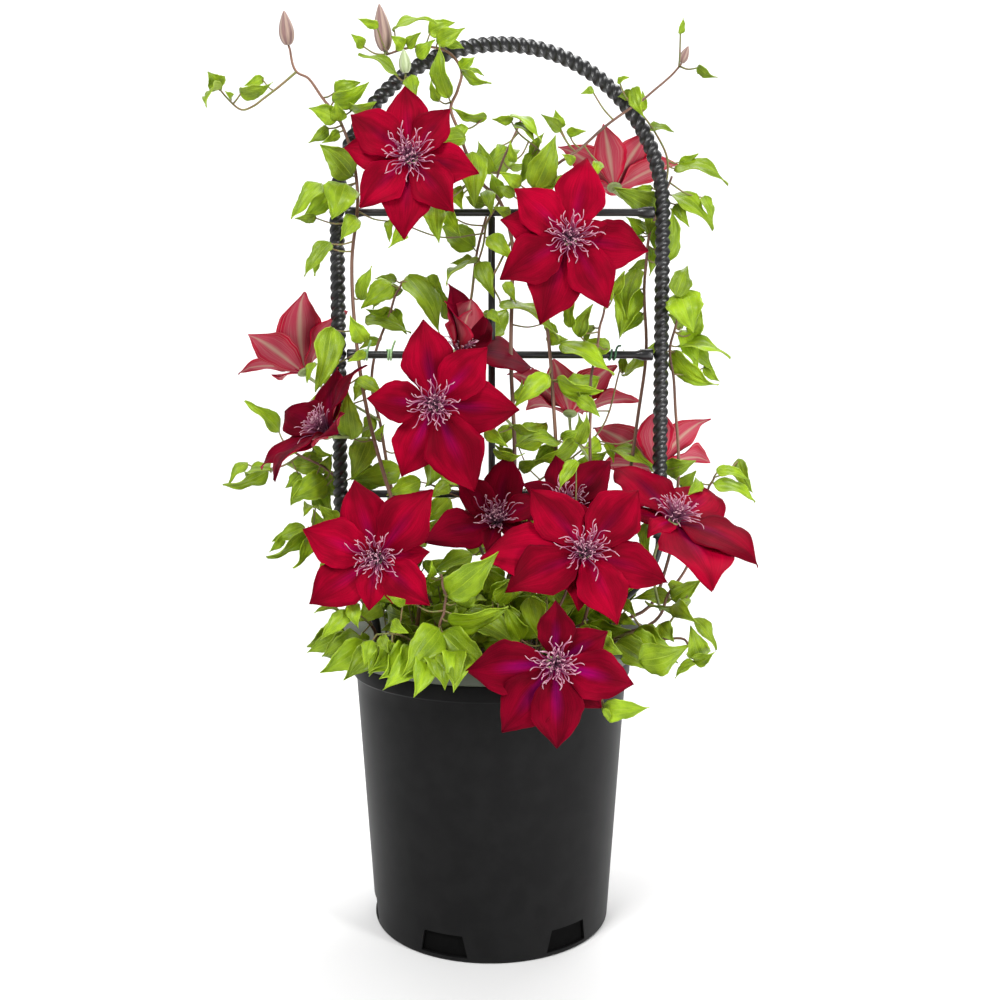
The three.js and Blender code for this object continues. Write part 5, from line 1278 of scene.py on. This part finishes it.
def leaf_blade(base, tip, seen_width, seed, thickness=0.55):
    base, tip = np.array(base, dtype=float), np.array(tip, dtype=float)
    length = np.linalg.norm(tip - base)
    axis = (tip - base) / length
    side, normal = frame_along(axis, TOWARDS_FRONT)
    full_width = max(seen_width, 0.46 * length)
    roll = math.acos(min(1, seen_width / full_width)) * (-1 if draw(seed) < 0.5 else 1)
    normal, side = (
        normal * math.cos(roll) + side * math.sin(roll),
        side * math.cos(roll) - normal * math.sin(roll),
    )
    rows, columns = (19, 11) if length > 22 else (13, 9)
    t = np.linspace(0, 1, rows)[:, None]
    s = np.linspace(-1, 1, columns)[None, :]
    half = np.interp(t, *zip(*LEAF_OUTLINE)) * full_width / 2
    teeth = 0.06 * np.sin(15 * t + 6 * draw(seed + 5) + np.where(s > 0, 2, 0))
    teeth = teeth + 0.035 * np.sin(38 * t + np.abs(s))
    half = half * (1 + teeth * np.abs(s))
    across = s * half
    bow = length * (0.1 * np.sin(math.pi * t) - 0.13 * draw(seed + 13) * np.clip(t - 0.6, 0, 1) ** 2 * 6.0)
    fold = 0.22 * np.abs(across)
    phase = 6.3 * draw(seed + 3) + np.where(s > 0, 1.6, 0)
    wave = 0.11 * full_width * np.abs(s) ** 1.5 * np.sin(10 * t + phase)
    puff = 0.035 * full_width * np.sin(2.2 * math.pi * np.abs(s)) * np.sin(math.pi * t)
    bend = 0.1 * (draw(seed + 11) - 0.5) * np.sin(math.pi * t) + 0.05 * (draw(seed + 12) - 0.5) * t**4
    grid = (
        base
        + axis * (length * t)[..., None]
        + side * (across + length * bend)[..., None]
        + normal * (bow + fold + wave + puff)[..., None]
    )
    shade = 0.15 + 0.8 * draw(seed + 21)
    return thin_blade(grid, s, thickness, normal, (2, 3), shade)


print("one leaf has", len(leaf_blade((0, 0, 0), (0, 0, 40), 20, 7)["faces"]), "faces")

# %% [markdown]
# ## Leafy stems
# Main shoots are the thickest, side shoots and flower stalks thinner. A leaf stalk starts on the nearest
# shoot, sags a little and reaches the leaf's foot. This climber holds on by twisting just these stalks.
# Each leafy stem is one piece, as it grew.

# %% Leafy stems
leafy_finishes = [woody_stem, green_stem, leaf_above, leaf_below, pale_stalk]


def nearest_on(lines, point):
    spots = np.concatenate(lines)
    return spots[np.argmin(np.linalg.norm(spots - point, axis=1))]


def leafy_stem(stem):
    thick, thin = stem["radii"]
    main = smooth_path(stem["path"], 6)
    side_shoots = [smooth_path(line, 6) for line in stem["side"]]
    wobble = 0.5 * np.sin(np.linspace(0, 40, len(main)))[:, None] * np.array([1.0, 0.6, 0])
    skins = [round_bar(main + wobble, np.linspace(thick, thin, len(main)), 8, 0, draw(main[3, 0]))]
    for line in side_shoots:
        radii = np.linspace(thin + 0.1, thin - 0.2, len(line))
        skins.append(round_bar(line, radii, 7, 1, draw(line[1, 0])))
    for stalk in stem["stalks"]:
        path = smooth_path(stalk, 8)
        swelling = 1.15 + 0.5 * np.linspace(0, 1, len(path)) ** 8
        skins.append(round_bar(path, swelling, 8, 4, draw(path[1, 0])))
    for foot_x, foot_y, foot_z, tip_x, tip_y, tip_z, width in stem["leaves"]:
        foot = np.array([foot_x, foot_y, foot_z], dtype=float)
        tip = np.array([tip_x, tip_y, tip_z], dtype=float)
        start = nearest_on([main, *side_shoots], foot)
        seed = foot_x + 2 * foot_z
        gap = np.linalg.norm(foot - start)
        if gap > 0.8:
            sag = np.array([0, 0, -0.12 * gap]) + TOWARDS_FRONT * 0.05 * gap
            path = smooth_path([start, (start + foot) / 2 + sag, foot + unit(tip - foot) * 1.5], 4)
            skins.append(round_bar(path, np.linspace(0.75, 0.6, len(path)), 6, 1, draw(seed)))
        skins.append(leaf_blade(foot, tip, width, seed))
    return skins


for name, stem in stems.items():
    make_piece(f"leafy_{name}", leafy_stem(stem), leafy_finishes, [f"stem_{name}"])

# %% [markdown]
# Low down the plant carries short leaves that close the view on the soil; they are darkened with painted
# shade. They are spread by the golden angle, each turned from the one before by the same odd share of a
# circle, so that they never line up. A fringe of larger leaves hangs over the front of the rim.

# %% Low leaves
GOLDEN_ANGLE = math.pi * (3 - math.sqrt(5))
LOW_LEAVES = 110
FRINGE_LEAVES = 22
LEFT_FRINGE_LEAVES = 16


def low_leaf(number):
    angle = GOLDEN_ANGLE * number
    away = 96 * math.sqrt((number + 0.5) / LOW_LEAVES)
    height = SOIL_HEIGHT + 14 + 44 * draw(number + 3)
    foot = np.array([away * math.cos(angle), 8 + 0.75 * away * math.sin(angle), height])
    lean = np.array([math.cos(angle + 2 * draw(number)), -0.9 * draw(number + 7), 0])
    lean[2] = 0.9 * draw(number + 5) - 0.35
    tip = foot + unit(lean) * (22 + 16 * draw(number + 9))
    root = np.array([foot[0] * 0.9, foot[1] * 0.9, SOIL_HEIGHT - 4])
    stalk = smooth_path([root, (root + foot) / 2 + np.array([2.0, 1.0, 0]), foot + unit(lean)], 4)
    blade = leaf_blade(foot, tip, 14 + 9 * draw(number + 11), 300 + number)
    # Painted shade: the low leaves get a darker tone, as if shaded by the plant above.
    blade["shade"] = blade["shade"] * 0.6
    return [round_bar(stalk, np.linspace(0.9, 0.6, len(stalk)), 6, 1, draw(number)), blade]


def fringe_leaf(number):
    angle = math.radians(201 + 4 * number if number < LEFT_FRINGE_LEAVES else 240 + 5 * number)
    out = np.array([math.cos(angle), math.sin(angle), 0])
    aside = np.array([-math.sin(angle), math.cos(angle), 0])
    foot = out * (118 + 4 * draw(number + 21)) + UP * (RIM_HEIGHT + 6 + 4 * draw(number + 22))
    lean = out + aside * 0.9 * (draw(number + 23) - 0.5) - UP * (0.35 + 0.4 * draw(number + 24))
    tip = foot + unit(lean) * (26 + 14 * draw(number + 25))
    root = np.array([foot[0] * 0.72, foot[1] * 0.72, SOIL_HEIGHT - 4])
    stalk = smooth_path([root, (root + foot) / 2 + UP * 7, foot + unit(lean)], 4)
    blade = leaf_blade(foot, tip, 17 + 8 * draw(number + 26), 600 + number)
    return [round_bar(stalk, np.linspace(0.9, 0.6, len(stalk)), 6, 1, draw(number)), blade]


low_growth = [skin for number in range(LOW_LEAVES) for skin in low_leaf(number)]
low_growth += [skin for number in range(FRINGE_LEAVES) for skin in fringe_leaf(number)]
make_piece("undergrowth", low_growth, leafy_finishes)
print("low leaves:", LOW_LEAVES + FRINGE_LEAVES)

# %% [markdown]
# ## Blooms
# Each bloom is a flat or cupped star of overlapping sepals on a small hub. A sepal is narrow at its foot,
# broadest past the middle and drawn to a point that curls back. Its edges wave, and three ribs run along
# it. By turns the sepals lie a little higher and lower, so that they overlap the way real ones do. One
# bloom is only half open: its front sepals still stand up and show their striped backs. Another has one
# small sepal curled in its middle.

# %% One sepal
SEPAL_OUTLINE = [(0, 0.16), (0.08, 0.27), (0.2, 0.54), (0.32, 0.80), (0.43, 0.97), (0.53, 1.02),
                 (0.62, 0.96), (0.71, 0.80), (0.79, 0.60), (0.86, 0.40), (0.92, 0.22), (0.96, 0.11),
                 (0.985, 0.05), (1.0, 0.01)]
PLAIN_BAR = 0.35


def bloom_frame(bloom):
    centre = np.array(bloom["centre"], dtype=float)
    facing = unit(np.array(bloom["facing"], dtype=float))
    right = unit(np.cross(UP, facing))
    return centre, facing, right, unit(np.cross(facing, right))


def layer_of(bloom, order):
    if len(bloom["sepals"]) % 2 == 1 and order == len(bloom["sepals"]) - 1:
        return 0
    return 2 if order % 2 == 0 else -2


def sepal_blade(bloom, order):
    centre, facing, right, upward = bloom_frame(bloom)
    entry = bloom["sepals"][order]
    angle, length, breadth, rise = entry + [1, 0][len(entry) - 2 :]
    seed = bloom["seed"] + 3 * order
    turn, cup = math.radians(angle), math.radians(bloom["cup"] + rise)
    outward = right * math.cos(turn) + upward * math.sin(turn)
    side = np.cross(outward, facing)
    inward = facing * math.cos(cup) - outward * math.sin(cup)
    t = np.linspace(0, 1, 27)[:, None]
    s = np.linspace(-1, 1, 17)[None, :]
    edge = np.where(s > 0, 2.0, 0)
    ripple = 1 + 0.04 * np.sin(16 * t + 6 * draw(seed + 1) + edge)
    ripple = ripple + 0.02 * np.sin(37 * t + 6 * draw(seed + 8) + edge)
    half = np.interp(t, *zip(*SEPAL_OUTLINE)) * 0.31 * length * breadth * ripple
    across = s * half
    run = 2 + (length - 2) * t
    bow = 0.055 * length * np.sin(math.pi * t)
    droop = 0.06 * length * t**3 + 0.05 * length * np.clip(t - 0.86, 0, 1) * 7 * (0.4 + draw(seed + 2))
    wrap = math.sin(cup) * across**2 / (2 * np.maximum(8, run * math.cos(cup)))
    wave = 0.028 * length * np.abs(s) ** 2.5 * np.sin(2 * math.pi * (2.2 * t + draw(seed + 4)) + edge)
    wave = wave + 0.03 * length * s * np.sin(math.pi * t) * (draw(seed + 7) - 0.5)
    ribs = -0.3 * np.exp(-((s / 0.07) ** 2)) - 0.25 * np.exp(-(((np.abs(s) - 0.27) / 0.07) ** 2))
    ribs = ribs * np.clip(5 * t, 0, 1) * np.clip(4 * (1 - t), 0, 1)
    sway = 0.05 * length * (draw(seed + 6) - 0.5) * t**2
    layer = layer_of(bloom, order) * np.minimum(1, 4 * t)
    height = bow - droop + 0.03 * np.abs(across) + layer + wave + ribs
    grid = (
        centre
        + outward * (run * math.cos(cup) - wrap)[..., None]
        + facing * ((run - 2) * math.sin(cup) + 0 * s)[..., None]
        + side * (across + sway)[..., None]
        + inward * height[..., None]
    )
    return thin_blade(grid, s, 0.6, inward, (0, 1), draw(seed + 9), bloom.get("bar", PLAIN_BAR))


print("one sepal has", len(sepal_blade(blooms["bloom_1"], 0)["faces"]), "faces")

# %% Hubs and blooms


def bloom_hub(bloom):
    centre, facing, _, _ = bloom_frame(bloom)
    outline = [[0, -3.2], [1.8, -3.1], [3.2, -2.4], [5.2, -0.9], [6.2, 0.3], [5.4, 1.2], [3.5, 1.6]]
    return turned_piece(outline + [[0, 1.7]], 18, centre, facing, 2)


for name, bloom in blooms.items():
    skins = [bloom_hub(bloom)] + [sepal_blade(bloom, order) for order in range(len(bloom["sepals"]))]
    reverse = rose_reverse if bloom["colour"] == "rose" else dusty_reverse
    finishes = [velvets[bloom.get("finish", bloom["colour"])], reverse, pale_stalk]
    make_piece(f"velvet_{name}", skins, finishes, [name])

# %% [markdown]
# ## Stamens
# The boss is a brush of long filaments that spread, arch and curl at their ends, round a dark heart. Each
# filament is its own thin bar. The outer ones lean out with the sepals and the inner ones stand up. The
# angle of each is stepped by the golden angle, which spreads any number of them evenly, as a plant does.

# %% Stamens
FILAMENTS = 84
FILAMENT_RADII = np.array([0.4, 0.38, 0.36, 0.34, 0.32, 0.31, 0.3, 0.3, 0.34, 0.38, 0.22])


def filament(bloom, number):
    centre, facing, right, upward = bloom_frame(bloom)
    seed = bloom["seed"] + 7 * number
    inner = number / FILAMENTS
    turn = GOLDEN_ANGLE * number + 0.5 * draw(seed)
    outward = right * math.cos(turn) + upward * math.sin(turn)
    sideways = np.cross(outward, facing)
    rise = math.radians(min(88, bloom["cup"] + 16 + 54 * inner**1.2 + 22 * (draw(seed + 1) - 0.5)))
    reach = bloom.get("boss", 1) * (22 - 9 * inner) * (0.75 + 0.4 * draw(seed + 2))
    t = np.linspace(0, 1, 11)[:, None]
    lift = 0.2 * reach * np.sin(math.pi * t * 0.9)
    phase = 6.3 * draw(seed + 3)
    curl = reach * 0.11 * (np.sin(6.5 * t + phase) - math.sin(phase)) * t
    hook = reach * (0.5 * draw(seed + 4) - 0.1) * np.clip(t - 0.55, 0, 1) ** 1.5 * 1.6
    spread = math.cos(math.radians(bloom["cup"]))
    root = centre + facing * (2.0 + 2.2 * inner) + outward * 2.8 * (1 - inner) * spread
    path = (
        root
        + outward * (reach * t * math.cos(rise) - hook * 0.6)
        + facing * (reach * t * math.sin(rise) + lift - hook * 0.3)
        + sideways * (curl + reach * 0.35 * (draw(seed + 6) - 0.5) * t**2)
    )
    return round_bar(path, FILAMENT_RADII, 5, 0, draw(seed + 5))


def boss(bloom):
    centre, facing, _, _ = bloom_frame(bloom)
    width = 3.6 * math.cos(math.radians(bloom["cup"]))
    heart = [[0, 1.9], [width, 1.9], [width, 3.2], [width * 0.8, 4.8], [width * 0.4, 6.2], [0, 6.8]]
    core = turned_piece(heart, 14, centre, facing, 1, 0.5, lambda a: 1 + 0.12 * np.sin(7 * a))
    return [core] + [filament(bloom, number) for number in range(FILAMENTS)]


for name, bloom in blooms.items():
    node, piece_name = name.replace("bloom", "boss"), name.replace("bloom", "stamens")
    make_piece(piece_name, boss(bloom), [stamen_finish, boss_heart], [node])

# %% [markdown]
# ## Buds
# A bud is a long pointed egg with six soft ribs, one for each folded sepal. The outline is turned round
# the bud's axis with a radius that swells at each rib.

# %% Buds
BUD_OUTLINE = [(0, 0), (0.42, 0.005), (0.62, 0.05), (0.8, 0.12), (0.94, 0.22), (1.0, 0.33), (0.96, 0.45),
               (0.84, 0.58), (0.68, 0.7), (0.5, 0.8), (0.3, 0.9), (0.12, 0.97), (0, 1.0)]
for name, bud in buds.items():
    foot, tip = np.array(bud["foot"], dtype=float), np.array(bud["tip"], dtype=float)
    length = np.linalg.norm(tip - foot)
    outline = [[share * bud["width"] / 2, place * length] for share, place in BUD_OUTLINE]
    six_ribs = lambda turn: 1 + 0.05 * np.cos(6 * turn)
    skin = turned_piece(outline, 36, foot, (tip - foot) / length, 0, 0.5, six_ribs)
    finish = pale_bud if bud["colour"] == "pale" else dusky_bud
    make_piece(f"ribbed_{name}", [skin], [finish], [name])
print("buds:", len(buds))

# %% [markdown]
# ## Floor, light and camera
# The plant stands on a plain pale floor that curves up behind it, under large soft lamps: one high at the
# left front, one at the right, a dim one from behind to lift the edges of leaves, and one for the
# backdrop. The camera stands in front at the height of the middle blooms and is tipped down by five
# degrees.

# %% Floor and light
floor_mesh = bpy.data.meshes.new("floor")
COVE_START = 1.3
COVE_RADIUS = 0.9
cove = [(-5.0, 0.0), (COVE_START, 0.0)]
for turn in range(6, 91, 6):
    rise, run = 1 - math.cos(math.radians(turn)), math.sin(math.radians(turn))
    cove.append((COVE_START + COVE_RADIUS * run, COVE_RADIUS * rise))
cove.append((COVE_START + COVE_RADIUS, 5.0))
floor_points = [(x, y, z) for y, z in cove for x in (-6.0, 6.0)]
floor_faces = [(2 * k, 2 * k + 1, 2 * k + 3, 2 * k + 2) for k in range(len(cove) - 1)]
floor_mesh.from_pydata(floor_points, [], floor_faces)
floor_mesh.shade_smooth()
floor = bpy.data.objects.new("floor", floor_mesh)
bpy.context.collection.objects.link(floor)
floor_paint = bpy.data.materials.new("pale floor")
floor_paint.use_nodes = True
floor_shader = floor_paint.node_tree.nodes["Principled BSDF"]
floor_shader.inputs["Base Color"].default_value = (0.86, 0.86, 0.86, 1)
floor_shader.inputs["Roughness"].default_value = 0.9
floor_mesh.materials.append(floor_paint)
sky = bpy.data.worlds.new("studio")
bpy.context.scene.world = sky
bpy.context.scene.view_settings.view_transform = "Standard"
sky.use_nodes = True
sky.node_tree.nodes["Background"].inputs[0].default_value = (1, 1, 1, 1)
sky.node_tree.nodes["Background"].inputs[1].default_value = 0.38


def soft_lamp(name, place, aim, size, watts):
    lamp = bpy.data.lights.new(name, "AREA")
    lamp.shape = "RECTANGLE"
    lamp.size, lamp.size_y = size
    lamp.energy = watts
    holder = bpy.data.objects.new(name, lamp)
    bpy.context.collection.objects.link(holder)
    towards = unit(np.array(aim) - np.array(place))
    side, normal = frame_along(towards, UP)
    holder.matrix_world = [[*(-side), 0], [*normal, 0], [*(-towards), 0], [*place, 1]]


soft_lamp("high left lamp", (-0.8, -1.4, 1.8), (0, 0, 0.4), (0.7, 0.7), 36)
soft_lamp("right lamp", (1.25, -1.15, 0.6), (0, 0, 0.25), (0.3, 1.3), 22)
soft_lamp("back lamp", (0.5, 0.9, 1.9), (0, 0, 0.4), (1.2, 0.8), 14)
soft_lamp("backdrop lamp", (0, 0.6, 2.6), (0, 2.4, 0.8), (2.4, 0.6), 46)
print("lamps: 4")

# %% Camera
lens = bpy.data.cameras.new("front camera")
lens.sensor_width = 36
lens.lens = 40.82
camera = bpy.data.objects.new("front camera", lens)
camera.location = (0.007, -0.9, 0.419)
camera.rotation_euler = (math.radians(84.8), 0, 0)
bpy.context.collection.objects.link(camera)
bpy.context.scene.camera = camera
print("camera at", tuple(round(value, 3) for value in camera.location))
